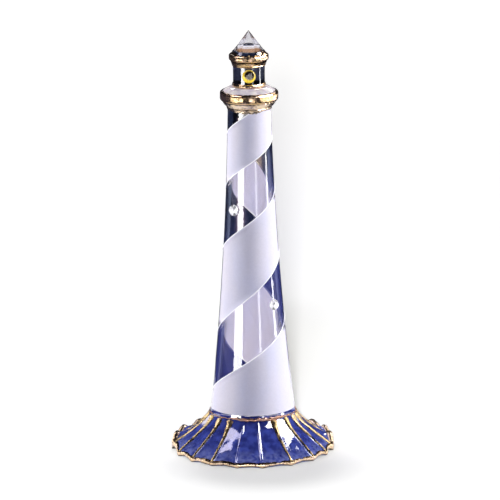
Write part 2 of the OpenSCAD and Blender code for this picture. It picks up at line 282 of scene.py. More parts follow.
def place(piece: Piece, slot: Slot, finish: Finish, *nodes: str) -> Piece:
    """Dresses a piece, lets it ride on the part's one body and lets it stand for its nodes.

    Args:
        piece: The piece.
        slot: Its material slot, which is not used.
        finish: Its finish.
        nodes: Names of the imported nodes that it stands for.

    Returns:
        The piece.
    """
    piece.data.materials.clear()
    piece.data.materials.append(finish)
    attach(piece, BODY)
    if nodes:
        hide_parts(*nodes)
    LOG.info("%s: %d faces, for %s", piece.name, len(piece.data.polygons), ", ".join(nodes) or "no node")
    return piece


def dress(node: str, finish: Finish) -> None:
    """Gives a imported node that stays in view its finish.

    Args:
        node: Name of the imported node.
        finish: Its finish.
    """
    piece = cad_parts[node]
    piece.data.materials.clear()
    piece.data.materials.append(finish)
    LOG.info("%s: packed solid, dressed", node)


class Weave:
    """The nodes of one material, or of the world, while they are put together."""

    def __init__(self, name: str, world: bool = False) -> None:
        """Starts empty nodes with an output and the frame's own coordinates.

        Args:
            name: Name of the material or world.
            world: Whether the nodes are the world's.
        """
        self.made = (bpy.data.worlds if world else bpy.data.materials).new(name)
        self.made.use_nodes = True
        self.tree = self.made.node_tree
        self.tree.nodes.clear()
        self.output = self.node("OutputWorld" if world else "OutputMaterial")
        self.place = self.node("TexCoord").outputs["Object"]

    def node(self, kind: str, inputs: dict | None = None, **settings: object) -> bpy.types.Node:
        """Adds a shader node.

        Args:
            kind: Type of the node, without its usual prefix.
            inputs: Values, sockets or nodes for its inputs, by name or number.
            settings: Properties of the node.

        Returns:
            The node.
        """
        made = self.tree.nodes.new("ShaderNode" + kind)
        for key, value in settings.items():
            setattr(made, key, value)
        for key, value in (inputs or {}).items():
            self.feed(made.inputs[key], value)
        return made

    def feed(self, socket: Socket, value: object) -> None:
        """Links a socket to another one or to a node's first output, or sets its number or colour.

        Args:
            socket: The socket.
            value: Another socket, a node, a number or a colour.
        """
        if isinstance(value, bpy.types.Node):
            value = value.outputs[0]
        if isinstance(value, Socket):
            self.tree.links.new(value, socket)
        elif socket.type == "RGBA":
            socket.default_value = (*value, 1.0)
        else:
            socket.default_value = value

    def maths(self, kind: str, *values: object) -> Socket:
        """Works out one step of arithmetic on numbers or sockets."""
        return self.node("Math", dict(enumerate(values)), operation=kind).outputs[0]

    def noise(self, size: float, detail: float = 3.0, stretch: Point = (1, 1, 1)) -> Socket:
        """Gives noise from 0 to 1.

        Args:
            size: Width of a lump in millimetres.
            detail: Number of finer layers.
            stretch: How many times longer a lump is along each axis.

        Returns:
            The noise socket.
        """
        scaled = self.node("Mapping", {"Vector": self.place, "Scale": [1 / s for s in stretch]})
        return self.node("TexNoise", {
            "Vector": scaled, "Scale": 1 / (size * MM), "Detail": detail}).outputs[0]

    def span(self, value: object, low: float, high: float, to_low: float = 0.0,
             to_high: float = 1.0) -> Socket:
        """Maps a number smoothly from one range to another, and holds it there."""
        return self.node("MapRange", {0: value, 1: low, 2: high, 3: to_low, 4: to_high},
                         interpolation_type="SMOOTHSTEP").outputs[0]

    def between(self, value: object, low: float, full: float, fading: float, high: float) -> Socket:
        """Gives 1 between the middle two of four bounds, and falls off to 0 at the outer two."""
        return self.maths("MULTIPLY", self.span(value, low, full), self.span(value, high, fading))

    def blend(self, share: object, first: object, second: object) -> Socket:
        """Mixes two colours."""
        return self.node("Mix", {0: share, 6: first, 7: second}, data_type="RGBA").outputs[2]

    def axis(self, number: int) -> Socket:
        """Gives one of the place's coordinates in metres."""
        return self.node("SeparateXYZ", {0: self.place}).outputs[number]

    def height(self) -> Socket:
        """Gives the height above the table in millimetres."""
        return self.maths("MULTIPLY", self.axis(2), 1 / MM)

    def turn(self) -> Socket:
        """Gives the angle from the front in degrees, from 0 to 180 to either side."""
        angle = self.maths("ARCTAN2", self.axis(0), self.maths("MULTIPLY", self.axis(1), -1.0))
        return self.maths("ABSOLUTE", self.maths("DEGREES", angle))

    def away(self, centre: Sequence[float] = (0, 0, 0)) -> Socket:
        """Gives the distance from a point, all in metres."""
        return self.node("VectorMath", {0: self.place, 1: centre}, operation="DISTANCE").outputs["Value"]

    def edge(self) -> Socket:
        """Gives the mesh's edge mark, from 0 to 1, where etched glass paints a highlight and gold paints
        shade.
        """
        return self.node("Attribute", attribute_name="edge", attribute_type="GEOMETRY").outputs["Fac"]

    def seen(self) -> Socket:
        """Gives 1 to rays from the camera, from mirrors and through glass, and 0 to all other light.

        Returns:
            The number's socket.
        """
        path = self.node("LightPath").outputs
        mirrored = self.maths("MAXIMUM", path["Is Camera Ray"], path["Is Glossy Ray"])
        return self.maths("MAXIMUM", mirrored, path["Is Transmission Ray"])

    def bump(self, height: object, depth: float) -> Socket:
        """Gives a bumped normal for a height from 0 to 1 that is depth millimetres deep."""
        return self.node("Bump", {"Height": height, "Distance": depth * MM, "Strength": 1.0}).outputs[0]

    def principled(self, **inputs: object) -> bpy.types.Node:
        """Adds the main shader, with underscores for the spaces in its sockets' names."""
        return self.node("BsdfPrincipled", {key.replace("_", " "): v for key, v in inputs.items()})

    def done(self, shader: bpy.types.Node) -> bpy.types.ID:
        """Joins a shader to the output and gives the material or world."""
        self.feed(self.output.inputs["Surface"], shader)
        return self.made


@dataclass(frozen=True)
class PaintedBackdropGlass:
    """Clear glass with a cobalt tint painted on its back half, fading out towards the front, which stands in
    for a dark-blue backdrop seen through the glass, in degrees and millimetres.

    Attributes:
        backdrop_turns: Angles from the front between which the painted backdrop tint sets in.
        wider_at_mouth: How many degrees more it covers above the heights in mouth.
        navy_from: Heights between which cobalt turns to navy.
        bluer_right: How much lower a place counts for each millimetre that it lies to the right.
        violet_turns: Angles at which the painted violet reflection begins, is full, starts to fade and ends.
        olive_turns: The same for the painted olive reflection, which begins at the heights in olive_from.
    """

    name: str = "painted_backdrop_glass"
    clear: Colour = (0.985, 0.97, 0.955)
    navy: Colour = (0.012, 0.018, 0.045)
    cobalt: Colour = (0.036, 0.043, 0.21)
    violet: Colour = (0.17, 0.12, 0.18)
    olive: Colour = (0.58, 0.50, 0.27)
    backdrop_turns: Pair = (52.0, 68.0)
    wider_at_mouth: float = 22.0
    mouth: Pair = (126.0, 140.0)
    navy_from: Pair = (62.0, 104.0)
    bluer_right: float = 3.5
    violet_turns: tuple[float, ...] = (122, 134, 158, 168)
    olive_turns: tuple[float, ...] = (136, 142, 150, 157)
    olive_from: Pair = (117.0, 123.0)

    def base(self, weave: Weave) -> Socket:
        """Gives the colour: painted backdrop cobalt below, navy above, which starts higher on the right, and
        painted violet and olive reflections.

        Args:
            weave: Nodes of the material.

        Returns:
            The colour's socket.
        """
        # Paints the back half with the colours of a dark-blue backdrop seen through the glass.
        right = weave.maths("MAXIMUM", weave.axis(0), 0.0)
        lower = weave.maths("MULTIPLY", right, self.bluer_right / MM)
        depth = weave.span(weave.maths("SUBTRACT", weave.height(), lower), *self.navy_from)
        # Painted violet and olive reflections on the back half.
        uneven = weave.span(weave.noise(4.5, 3.0, (1, 1, 10)), 0.3, 0.7, -9.0, 9.0)
        ragged = weave.maths("ADD", weave.turn(), uneven)
        olive = weave.maths("MULTIPLY", weave.between(ragged, *self.olive_turns),
                            weave.span(weave.height(), *self.olive_from))
        painted_reflection_tone = weave.blend(olive, self.violet, self.olive)
        painted_reflection_share = weave.maths("MULTIPLY", weave.between(ragged, *self.violet_turns), depth)
        colour = weave.blend(painted_reflection_share, weave.blend(depth, self.cobalt, self.navy), painted_reflection_tone)
        wider = weave.span(weave.height(), *self.mouth, 0.0, self.wider_at_mouth)
        share = weave.span(weave.maths("ADD", weave.turn(), wider), *self.backdrop_turns)
        return weave.blend(share, self.clear, colour)

    def material(self, with_backdrop: bool) -> Finish:
        """Makes the material, with its painted backdrop tint or clear all over.

        Args:
            with_backdrop: Whether it has the painted backdrop tint.

        Returns:
            The material.
        """
        weave = Weave(self.name if with_backdrop else "clear_wall")
        drawn = weave.bump(weave.noise(6.0, 2.0, (1, 1, 14)), 0.008)
        return weave.done(weave.principled(
            Base_Color=self.base(weave) if with_backdrop else self.clear, Roughness=0.0, IOR=1.5,
            Transmission_Weight=1.0, Normal=drawn))


@dataclass(frozen=True)
class EtchedGlass:
    """Satin glass, etched white, with some light shining through, and a painted highlight and a painted glow
    along its edges.
    """

    name: str = "etched_glass"
    colour: Colour = (0.765, 0.77, 0.92)
    warm: Colour = (0.80, 0.785, 0.89)
    speck: Colour = (0.4, 0.4, 0.5)
    # Colour of the painted highlight along the lips.
    lip: Colour = (0.95, 0.95, 0.98)
    skim: Colour = (0.9, 0.9, 0.95)
    through: float = 0.45
    painted_lip_glow: float = 0.16

    def material(self) -> Finish:
        """Makes the material.

        Returns:
            The material.
        """
        weave = Weave(self.name)
        edge = weave.edge()
        cloud = weave.span(weave.noise(9.0, 4.0, (1, 1, 3)), 0.3, 0.7)
        specks = weave.span(weave.noise(0.9, 3.0), 0.35, 0.65, 0.0, 0.06)
        body = weave.blend(specks, weave.blend(cloud, self.colour, self.warm), self.speck)
        # Paints the lips paler, as a highlight.
        base = weave.blend(edge, body, self.lip)
        grain = weave.bump(weave.noise(0.25, 4.0), 0.012)
        face = weave.principled(
            Base_Color=base, Roughness=0.5, IOR=1.5, Specular_IOR_Level=0.2, Normal=grain)
        back = weave.node("BsdfTranslucent", {"Color": base})
        mixed = weave.node("MixShader", {0: self.through, 1: face, 2: back})
        # The lips glow a little, as painted light.
        strength = weave.maths("MULTIPLY", edge, self.painted_lip_glow)
        glow = weave.node("Emission", {"Color": self.lip, "Strength": strength})
        lit = weave.node("AddShader", {0: mixed, 1: glow})
        skim = weave.node("BsdfGlossy", {"Color": self.skim, "Roughness": 0.2})
        facing = weave.node("LayerWeight", {"Blend": 0.5}).outputs["Facing"]
        grazing = weave.span(facing, 0.68, 0.88, 0.0, 0.8)
        return weave.done(weave.node("MixShader", {0: grazing, 1: lit, 2: skim}))


@dataclass(frozen=True)
class CobaltGlass:
    """Thick cobalt glass with cloudy streaks, paler where it thins towards the rim."""

    name: str = "cobalt_glass"
    deep: Colour = (0.018, 0.026, 0.17)
    mid: Colour = (0.042, 0.062, 0.33)
    pale: Colour = (0.16, 0.19, 0.46)
    thin_below: Pair = (7.5, 1.5)

    def material(self) -> Finish:
        """Makes the material.

        Returns:
            The material.
        """
        weave = Weave(self.name)
        cloud = weave.span(weave.noise(3.2, 6.0), 0.36, 0.66)
        thin = weave.maths("MULTIPLY", weave.span(weave.height(), *self.thin_below),
                           weave.span(weave.noise(2.0, 5.0), 0.3, 0.7))
        base = weave.blend(thin, weave.blend(cloud, self.deep, self.mid), self.pale)
        skin = weave.bump(weave.noise(2.4, 4.0), 0.05)
        return weave.done(weave.principled(
            Base_Color=base, Roughness=0.05, IOR=1.52, Transmission_Weight=0.3, Normal=skin,
            Coat_Weight=0.6, Coat_Roughness=0.02))


@dataclass(frozen=True)
class FiredGold:
    """Bright gold fired on glass: rich where thick, rosy where thin, burnt dark in spots, and painted dark as
    shade at its marked edges and on faces that look down.

    Attributes:
        depth: How deep its unevenness is, in millimetres.
        below: How dark the painted shade is on the faces that look down, from 0 to 1.
        matt: What is added to its roughness.
        burn: Level of the noise past which it is burnt, so that a lower one burns more of it.
    """

    name: str = "fired_gold"
    rich: Colour = (0.93, 0.64, 0.33)
    rose: Colour = (0.93, 0.64, 0.47)
    # Colour of the burnt spots and of the painted shade.
    dark: Colour = (0.05, 0.022, 0.01)
    depth: float = 0.09
    below: float = 1.0
    matt: float = 0.0
    burn: float = 0.60

    def material(self) -> Finish:
        """Makes the material.

        Returns:
            The material.
        """
        weave = Weave(self.name)
        tone = weave.blend(weave.span(weave.noise(2.6, 3.0), 0.42, 0.68), self.rich, self.rose)
        spots = weave.span(weave.noise(1.3, 5.0), self.burn, self.burn + 0.14)
        # Paints shade along the edges that the mesh marks, ragged by noise.
        ragged = weave.maths("ADD", weave.edge(), weave.span(weave.noise(0.9, 4.0), 0.3, 0.7, -0.25, 0.25))
        burnt = weave.maths("MAXIMUM", spots, weave.span(ragged, 0.45, 0.75))
        # Paints shade on the faces that look down.
        up = weave.node("SeparateXYZ", {0: weave.node("TexCoord").outputs["Normal"]}).outputs[2]
        under = weave.span(up, -0.15, -0.6, 0.0, self.below)
        base = weave.blend(weave.maths("MAXIMUM", burnt, under), tone, self.dark)
        rough = weave.span(weave.noise(1.8, 4.0), 0.3, 0.8, 0.1 + self.matt, 0.34 + self.matt)
        skin = weave.bump(weave.noise(1.1, 3.0), self.depth)
        return weave.done(weave.principled(Base_Color=base, Metallic=1.0, Roughness=rough, Normal=skin))


@dataclass(frozen=True)
class TintedGlass:
    """Solid glass of one tint with faint drawn streaks, and haze by its share of cloud."""

    name: str
    tint: Colour
    streak: Colour
    bend: float = 1.5
    cloud: float = 0.0

    def material(self) -> Finish:
        """Makes the material.

        Returns:
            The material.
        """
        weave = Weave(self.name)
        base = weave.blend(weave.span(weave.noise(2.2, 3.0, (1, 1, 5)), 0.35, 0.7), self.tint, self.streak)
        skin = weave.bump(weave.noise(3.0, 2.0), 0.012)
        return weave.done(weave.principled(
            Base_Color=base, Roughness=0.0, IOR=self.bend, Transmission_Weight=1.0 - self.cloud,
            Normal=skin))


@dataclass(frozen=True)
class Foil:
    """Crinkled bright foil behind a stone, with a darker middle and any stripes painted in as reflections, and
    a faint painted glow.

    Attributes:
        centre: Middle of the dark part, in millimetres.
        reach: Radius of the dark part, in millimetres.
        matt: What is added to its roughness.
        painted_glow: How strongly it glows as painted light, for the light that a stone's facets return.
        painted_reflection_stripes: Width in millimetres of bright stripes from side to side over the dark
            part, painted in as reflections, or 0 for none.
    """

    name: str
    bright: Colour
    middle: Colour
    centre: Point
    reach: float
    matt: float = 0.0
    painted_glow: float = 0.0
    painted_reflection_stripes: float = 0.0

    def material(self) -> Finish:
        """Makes the material.

        Returns:
            The material.
        """
        weave = Weave(self.name)
        # Paints the darker middle and the stripes as reflections.
        away = weave.away([c * MM for c in self.centre])
        share = weave.span(away, 0.55 * self.reach * MM, 0.8 * self.reach * MM)
        if self.painted_reflection_stripes:
            painted_stripe = weave.span(weave.noise(self.painted_reflection_stripes, 2.0, (12, 1, 1)), 0.5, 0.62, 0.0, 0.7)
            share = weave.maths("MAXIMUM", share, painted_stripe)
        base = weave.blend(share, self.middle, self.bright)
        crinkle = weave.bump(weave.noise(0.5, 3.0), 0.03)
        rough = weave.span(weave.noise(0.8), 0.3, 0.7, 0.08 + self.matt, 0.2 + self.matt)
        return weave.done(weave.principled(
            Base_Color=base, Metallic=1.0, Roughness=rough, Normal=crinkle,
            Emission_Color=base, Emission_Strength=self.painted_glow))


@dataclass(frozen=True)
class Cement:
    """Clear cement with fine haze."""

    name: str = "cement"
    grey: Colour = (0.8, 0.8, 0.82)
    white: Colour = (0.92, 0.92, 0.93)

    def material(self) -> Finish:
        """Makes the material.

        Returns:
            The material.
        """
        weave = Weave(self.name)
        base = weave.blend(weave.noise(0.6, 4.0), self.grey, self.white)
        rough = weave.span(weave.noise(0.4), 0.3, 0.7, 0.2, 0.45)
        return weave.done(weave.principled(
            Base_Color=base, Roughness=rough, IOR=1.5, Transmission_Weight=0.5))


@dataclass(frozen=True)
class TowerShape:
    """Outline of the blown tower, in millimetres.

    Attributes:
        sweep: Share of its widening that grows with the square of the way down.
    """

    foot_z: float = 18.5
    mouth_z: float = 148.0
    foot_r: float = 17.6
    mouth_r: float = 9.05
    wall: float = 2.2
    sweep: float = 0.7

    def down(self, z: float) -> float:
        """Gives the share of the way from the mouth to the foot at a height."""
        return (self.mouth_z - z) / (self.mouth_z - self.foot_z)

    def radius(self, z: float) -> float:
        """Gives the outer radius at a height."""
        down = self.down(z)
        return self.mouth_r + (self.foot_r - self.mouth_r) * ((1 - self.sweep) * down + self.sweep * down**2)

    def tilt(self, z: float) -> float:
        """Gives the angle in degrees by which the wall leans back at a height."""
        slope = (1 - self.sweep + 2 * self.sweep * self.down(z)) * (self.foot_r - self.mouth_r)
        return math.degrees(math.atan(slope / (self.mouth_z - self.foot_z)))


@dataclass(frozen=True)
class Spiral:
    """Edges of the etched band after some turns to the left from the front.

    Attributes:
        upper: The upper edge's drop below the mouth at no turns, its fall in a turn, and what it gains with
            the square of the turns.
        lower: The same for the lower edge.
    """

    tower: TowerShape
    upper: tuple[float, float, float] = (1.4, 40.1, 6.0)
    lower: tuple[float, float, float] = (23.1, 43.1, 12.9)

    def edge(self, line: tuple[float, float, float], turns: float) -> float:
        """Gives the height of an edge."""
        drop, fall, gain = line
        return self.tower.mouth_z - drop - fall * turns - gain * turns**2

    def high(self, turns: float) -> float:
        """Gives the height of the band's upper edge."""
        return self.edge(self.upper, turns)

    def low(self, turns: float) -> float:
        """Gives the height of the band's lower edge."""
        return self.edge(self.lower, turns)

    def held(self, z: float) -> float:
        """Holds a height to the tower."""
        return min(self.tower.mouth_z, max(self.tower.foot_z, z))

    def window(self, strip: int, turn: float, place: float) -> float:
        """Gives a height in the clear strip, between the band above it, 0, and below it, 1.

        Args:
            strip: Number of the strip, counted down from the mouth.
            turn: Angle in degrees to the right of the front.
            place: Share of the way down the strip.

        Returns:
            The height in millimetres.
        """
        turns = strip - turn / 360
        above = self.low(turns)
        return above + place * (self.high(turns + 1) - above)


@dataclass
class Tower:
    """Blown tower of clear glass with a painted backdrop tint on its back half, and the etched band on it, in
    millimetres.

    Attributes:
        band_turns: Turns between which the band is made, which reach past the mouth and the foot.
        lip_rows: Places across a lip, as shares of its width from the band's edge.
        lip_rise: How high the lip is there, as a share of lip_h.
        band_least: Least height of the band, whose thinner ends are left out.
    """

    shape: TowerShape
    spiral: Spiral
    band_turns: tuple[int, int] = (-1, 4)
    columns: int = 192
    strip_rows: int = 14
    etch_gap: float = 0.05
    etch_sunk: float = 0.03
    etch_t: float = 0.2
    lip_w: float = 0.55
    lip_share: float = 0.2
    lip_h: float = 0.16
    lip_rows: tuple[float, ...] = (0.0, 0.35, 0.7, 1.0)
    lip_rise: tuple[float, ...] = (0.4, 1.0, 0.55, 0.0)
    band_rows: int = 12
    band_least: float = 0.6

    def wall_point(self, turns: float, z: float, depth: float) -> Point:
        """Gives a point depth millimetres inside the outer wall."""
        return around(self.shape.radius(z) - depth, -360 * turns, z)

    def ribbon(self, turns: tuple[int, int], top: Callable[[float], float],
               bottom: Callable[[float], float], depth: float, points: list[Point],
               faces: list[list[int]]) -> None:
        """Adds one strip of a wall between two falling edges.

        Args:
            turns: Whole turns at which the strip starts and ends.
            top: Height of its upper edge after some turns.
            bottom: Height of its lower edge after some turns.
            depth: How far inside the outer wall the strip lies.
            points: Points of the mesh so far.
            faces: Faces of the mesh so far.
        """
        start = len(points)
        count = (turns[1] - turns[0]) * self.columns + 1
        for i in range(count):
            at = turns[0] + i / self.columns
            high, low = self.spiral.held(top(at)), self.spiral.held(bottom(at))
            points += [self.wall_point(at, high + (low - high) * j / self.strip_rows, depth)
                       for j in range(self.strip_rows + 1)]
        made = [[start + c for c in f] for f in woven(count, self.strip_rows + 1, False, False)]
        faces += [f for f in made if self.spans([points[c][2] for c in f])]

    @staticmethod
    def spans(heights: list[float]) -> bool:
        """Tells whether a face has any height, from the heights of its corners."""
        return abs(heights[0] - heights[1]) + abs(heights[2] - heights[3]) > 1e-6

    def glass(self) -> Piece:
        """Makes the tube, with its walls cut along the band's edges.

        Returns:
            The new object.
        """
        points: list[Point] = []
        faces: list[list[int]] = []
        spiral, walls = self.spiral, (0.0, self.shape.wall)
        first, last = self.band_turns
        for depth in walls:
            self.ribbon((first, last), spiral.high, spiral.low, depth, points, faces)
            self.ribbon((first - 1, last), spiral.low, lambda turns: spiral.high(turns + 1), depth,
                        points, faces)
        for z in (self.shape.mouth_z, self.shape.foot_z):
            ring = len(points)
            points += [self.wall_point(j / self.columns, z, depth)
                       for depth in walls for j in range(self.columns)]
            faces += [[ring + c for c in f] for f in woven(2, self.columns, False, True)]
        return solid("tower_glass", points, faces, 30)

    def clear_bands(self, mesh: bpy.types.Mesh, clear: Finish) -> None:
        """Gives clear glass to each face of the wall that lies under the etched band.

        Args:
            mesh: Mesh of the tower's glass.
            clear: The clear glass.
        """
        mesh.materials.append(clear)
        first, last = self.band_turns
        for face in mesh.polygons:
            x, y, z = (c / MM for c in face.center)
            turns = -math.degrees(math.atan2(x, -y)) / 360
            face.material_index = int(any(
                self.spiral.low(turns + k) < z < self.spiral.high(turns + k)
                for k in range(first - 1, last + 1)))

    def band(self) -> Piece:
        """Makes the etched layer: a thin ribbon with a raised lip along both edges.

        Returns:
            The new object.
        """
        spiral, rows, count = self.spiral, self.lip_rows, self.band_rows
        full = [*self.lip_rise, *[0.0] * (count - 1), *reversed(self.lip_rise)]
        rings: list[list[Point]] = []
        edges: list[float] = []
        first, last = self.band_turns
        for i in range((last - first) * self.columns + 1):
            turns = last - i / self.columns
            high, low = spiral.held(spiral.high(turns)), spiral.held(spiral.low(turns))
            if high - low < self.band_least:
                continue
            lip = min(self.lip_w, self.lip_share * (high - low))
            at_foot = ease(-1.0, 0.0, spiral.low(turns) - self.shape.foot_z)
            at_mouth = ease(-1.0, 0.0, self.shape.mouth_z - spiral.high(turns))
            rise = [u * (at_foot if j < len(full) // 2 else at_mouth) for j, u in enumerate(full)]
            # Marks the lips, where the etched glass paints its highlight and glow.
            glow = [min(1.0, 2 * u) for u in rise]
            edges += glow + glow[::-1]
            marks = [low + lip * r for r in rows]
            marks += [low + lip + (high - low - 2 * lip) * j / count for j in range(1, count)]
            marks += [high - lip * r for r in reversed(rows)]
            face = [self.wall_point(turns, z, self.lip_h * (1 - u) - self.etch_gap - self.etch_t)
                    for z, u in zip(marks, rise)]
            back = [self.wall_point(turns, z, self.etch_sunk - self.etch_gap) for z in reversed(marks)]
            rings.append(face + back)
        return strand("etched_band", rings, False, 50, edges)


@dataclass
class Foot:
    """Pleated cobalt foot with its gilding, in millimetres and degrees.

    Attributes:
        ground: Corners of the edge that it stands on, by how far they lie in from the rim and up.
        jitter: How far each ridge is off its even place, as a share of a pleat.
        swells: Rises of the pleats, each with the two angles from the front between which it sets in.
        inset: How far the rim draws in between two ridges.
        plain: Numbers of the ridges without gold.
        neck_scale: About the flare's length, by which a width along it is divided.
    """

    tower: TowerShape
    foot_r: float = 34.2
    gold_r: float = 34.4
    rim_t: float = 1.6
    neck_drop: float = 5.2
    flare_r: float = 26.0
    flare_z: float = 8.0
    wall: float = 1.8
    ground: tuple[Pair, ...] = ((0.05, 0.25), (0.35, 0.0), (1.6, 0.0))
    count: int = 19
    first_turn: float = 6.4
    jitter: tuple[float, ...] = (
        0.0, 0.13, 0.22, 0.1, -0.05, 0.08, -0.1, 0.02, 0.1, -0.08, 0.05, -0.1, 0.06, 0.1, -0.06, 0.07, 0.08,
        0.02, 0.05)
    lift: float = 2.0
    lift_power: float = 4.0
    swell_front: float = 0.22
    swells: tuple[tuple[float, float, float], ...] = ((0.33, 45, 75), (1.5, 76, 96), (-0.95, 140, 165))
    arch_power: float = 1.15
    inset: float = 1.4
    inset_power: float = 1.6
    inset_front: float = 0.3
    inset_more: float = 0.6
    inset_turns: Pair = (25, 80)
    uneven: Lumps = Lumps(0.25, 1.6)
    uneven_from: Pair = (0.15, 0.9)
    inner_to: float = 0.88
    inner_wall: float = 0.9
    plain: tuple[int, ...] = (0, 18)
    steps: int = 44
    columns_per_pleat: int = 24
    ridge_h: float = 0.35
    ridge_w: float = 0.045
    ridge_starts: Pair = (0.1, 0.3)
    ridge_ends: Pair = (1.0, 0.9)
    bead_t: float = 0.88
    bead_fold_t: float = 0.14
    bead_fold_w: float = 0.14
    bead_lumps: Lumps = Lumps(0.26, 4.2)
    bead_grains: Lumps = Lumps(0.16, 1.3, 4.0)
    bead_behind: float = 0.55
    bead_turns: Pair = (68, 86)
    bead_tall: float = 1.15
    bead_in: float = 0.6
    bead_down: float = 0.5
    bead_least: float = 1.0
    bead_off_ground: float = 0.08
    rib_from: float = 0.14
    rib_to: float = 0.985
    rib_steps: int = 40
    rib_sway: Lumps = Lumps(0.5, 1.0)
    rib_w: float = 0.5
    rib_w_top: float = 1.3
    rib_w_power: float = 2.5
    rib_w_lumps: Lumps = Lumps(0.3, 1.0, mean=1.0)
    rib_w_behind: float = 0.8
    rib_turns: Pair = (55, 88)
    rib_h: float = 0.42
    rib_h_loss: float = 0.16
    rib_h_lumps: Lumps = Lumps(0.08, 1.0)
    neck_at: float = 0.115
    neck_wave: float = 0.007
    neck_waves: float = 38.0
    neck_scale: float = 26.0
    neck_scribble: Lumps = Lumps(0.03, 2.3)
    neck_t: float = 0.4
    neck_t_front: float = 0.7
    neck_t_lumps: Lumps = Lumps(0.4, 1.5, 3.0)
    neck_turns: Pair = (50, 20)
    neck_middle: float = 12.0

    def flare(self, s: float) -> tuple[Vector, Vector]:
        """Gives the flare's point and the normal out of its glass, s from the neck, 0, to the rim, 1.

        Args:
            s: Share of the way down the flare.

        Returns:
            The point and the normal, each as radius and height.
        """
        slope = math.tan(math.radians(self.tower.tilt(self.tower.foot_z)))
        a = Vector((self.tower.foot_r, self.tower.foot_z))
        b = Vector((self.tower.foot_r + slope * self.neck_drop, self.tower.foot_z - self.neck_drop))
        c = Vector((self.flare_r, self.flare_z))
        d = Vector((self.foot_r, self.rim_t))
        point = (1 - s)**3 * a + 3 * (1 - s)**2 * s * b + 3 * (1 - s) * s**2 * c + s**3 * d
        way = (1 - s)**2 * (b - a) + 2 * (1 - s) * s * (c - b) + s**2 * (d - c)
        return point, Vector((-way[1], way[0])).normalized()

    def ridge_turn(self, number: int) -> float:
        """Gives a ridge's angle for any number, past a whole turn too."""
        return self.first_turn + 360 / self.count * (number + self.jitter[number % self.count])

    def share(self, turn: float) -> float:
        """Gives the share of the way from one ridge to the next at an angle.

        Args:
            turn: Angle in degrees to the right of the front.

        Returns:
            The share, from 0 to 1.
        """
        number = math.floor((turn - self.first_turn) / 360 * self.count) - 1
        while self.ridge_turn(number + 1) <= turn:
            number += 1
        low, high = self.ridge_turn(number), self.ridge_turn(number + 1)
        return (turn - low) / (high - low)

    def near_ridge(self, turn: float, width: float) -> float:
        """Gives 1 on a ridge and less away from it, for a width as a share of the pleat."""
        share = self.share(turn)
        return math.exp(-((min(share, 1 - share) / width) ** 2))

    def swell(self, turn: float) -> float:
        """Gives how strongly the pleats rise at an angle: little at the front, most behind the sides."""
        rises = (rise * ease(low, high, apart(turn)) for rise, low, high in self.swells)
        return sum(rises, self.swell_front)

    def surface(self, s: float, turn: float, depth: float = 0.0) -> Pair:
        """Gives the radius and height of the glass's outer face, or of a face depth inside it.

        Args:
            s: Share of the way down the flare.
            turn: Angle in degrees to the right of the front.
            depth: How far inside the outer face it is, in millimetres.

        Returns:
            The radius and the height in millimetres.
        """
        arch = math.sin(math.pi * self.share(turn)) ** self.arch_power
        point, out = self.flare(s)
        ridge = self.near_ridge(turn, self.ridge_w) * self.ridge_h * ease(*self.ridge_starts, s)
        uneven = self.uneven.at((turn / 6, 9 * s, 3.0)) * ease(*self.uneven_from, s)
        off = ridge * ease(*self.ridge_ends, s) - depth
        deep = self.inset_front + self.inset_more * ease(*self.inset_turns, apart(turn))
        hollow = self.inset * arch * deep * s**self.inset_power
        height = point[1] + out[1] * off + self.lift * arch * self.swell(turn) * s**self.lift_power
        return (point[0] + out[0] * off - hollow, height + uneven * arch)

    def section(self, turn: float) -> Profile:
        """Gives the closed section of the glass at an angle.

        Args:
            turn: Angle in degrees to the right of the front.

        Returns:
            The section's corners, as radius and height.
        """
        outer = [self.surface(i / self.steps, turn) for i in range(self.steps + 1)]
        inner = [self.surface(self.inner_to * i / self.steps, turn,
                              self.wall * (self.inner_wall if i else 1.0))
                 for i in range(self.steps, -1, -1)]
        rim_r, rim_z = outer[-1]
        low = max(0.0, rim_z - self.rim_t)
        return outer + [(rim_r - inwards, low + up) for inwards, up in self.ground] + inner

    def glass(self) -> Piece:
        """Makes the pleated glass."""
        return turned("pleated_foot", self.section, self.count * self.columns_per_pleat, 50)

    def rim(self) -> Piece:
        """Makes the uneven bead of gold along the rim, with painted shade on the side that the glass shades.

        Returns:
            The new object.
        """
        count = self.count * self.columns_per_pleat
        # Marks painted shade round the bead: all but its outer face at the front, its underside behind.
        front_painted_shade = [0.0, 0.35, 0.9, 1.0, 1.0, 1.0, 1.0, 1.0, 1.0, 1.0, 0.95, 0.5]
        back_painted_shade = [0.1, 0.0, 0.2, 0.5, 0.1, 0.0, 0.0, 0.3, 0.9, 1.0, 0.9, 0.5]
        rings = []
        edges: list[float] = []
        for turn in (360 * i / count for i in range(count)):
            radius, height = self.surface(1.0, turn)
            spot = around(radius, turn, height)
            thick = self.bead_t + self.bead_fold_t * self.near_ridge(turn, self.bead_fold_w)
            thick += self.bead_lumps.at(spot) + self.bead_grains.at(spot)
            behind = ease(*self.bead_turns, apart(turn))
            thick *= 1 + self.bead_behind * behind
            edges += [f + (b - f) * behind for f, b in zip(front_painted_shade, back_painted_shade)]
            middle = max(self.bead_least, height - self.bead_down)
            rings.append([around(min(self.gold_r, radius - self.bead_in + thick * c), turn,
                                 max(self.bead_off_ground, middle + self.bead_tall * thick * s))
                          for c, s in circle(12)])
        return strand("foot_rim_gold", rings, True, edges=edges)

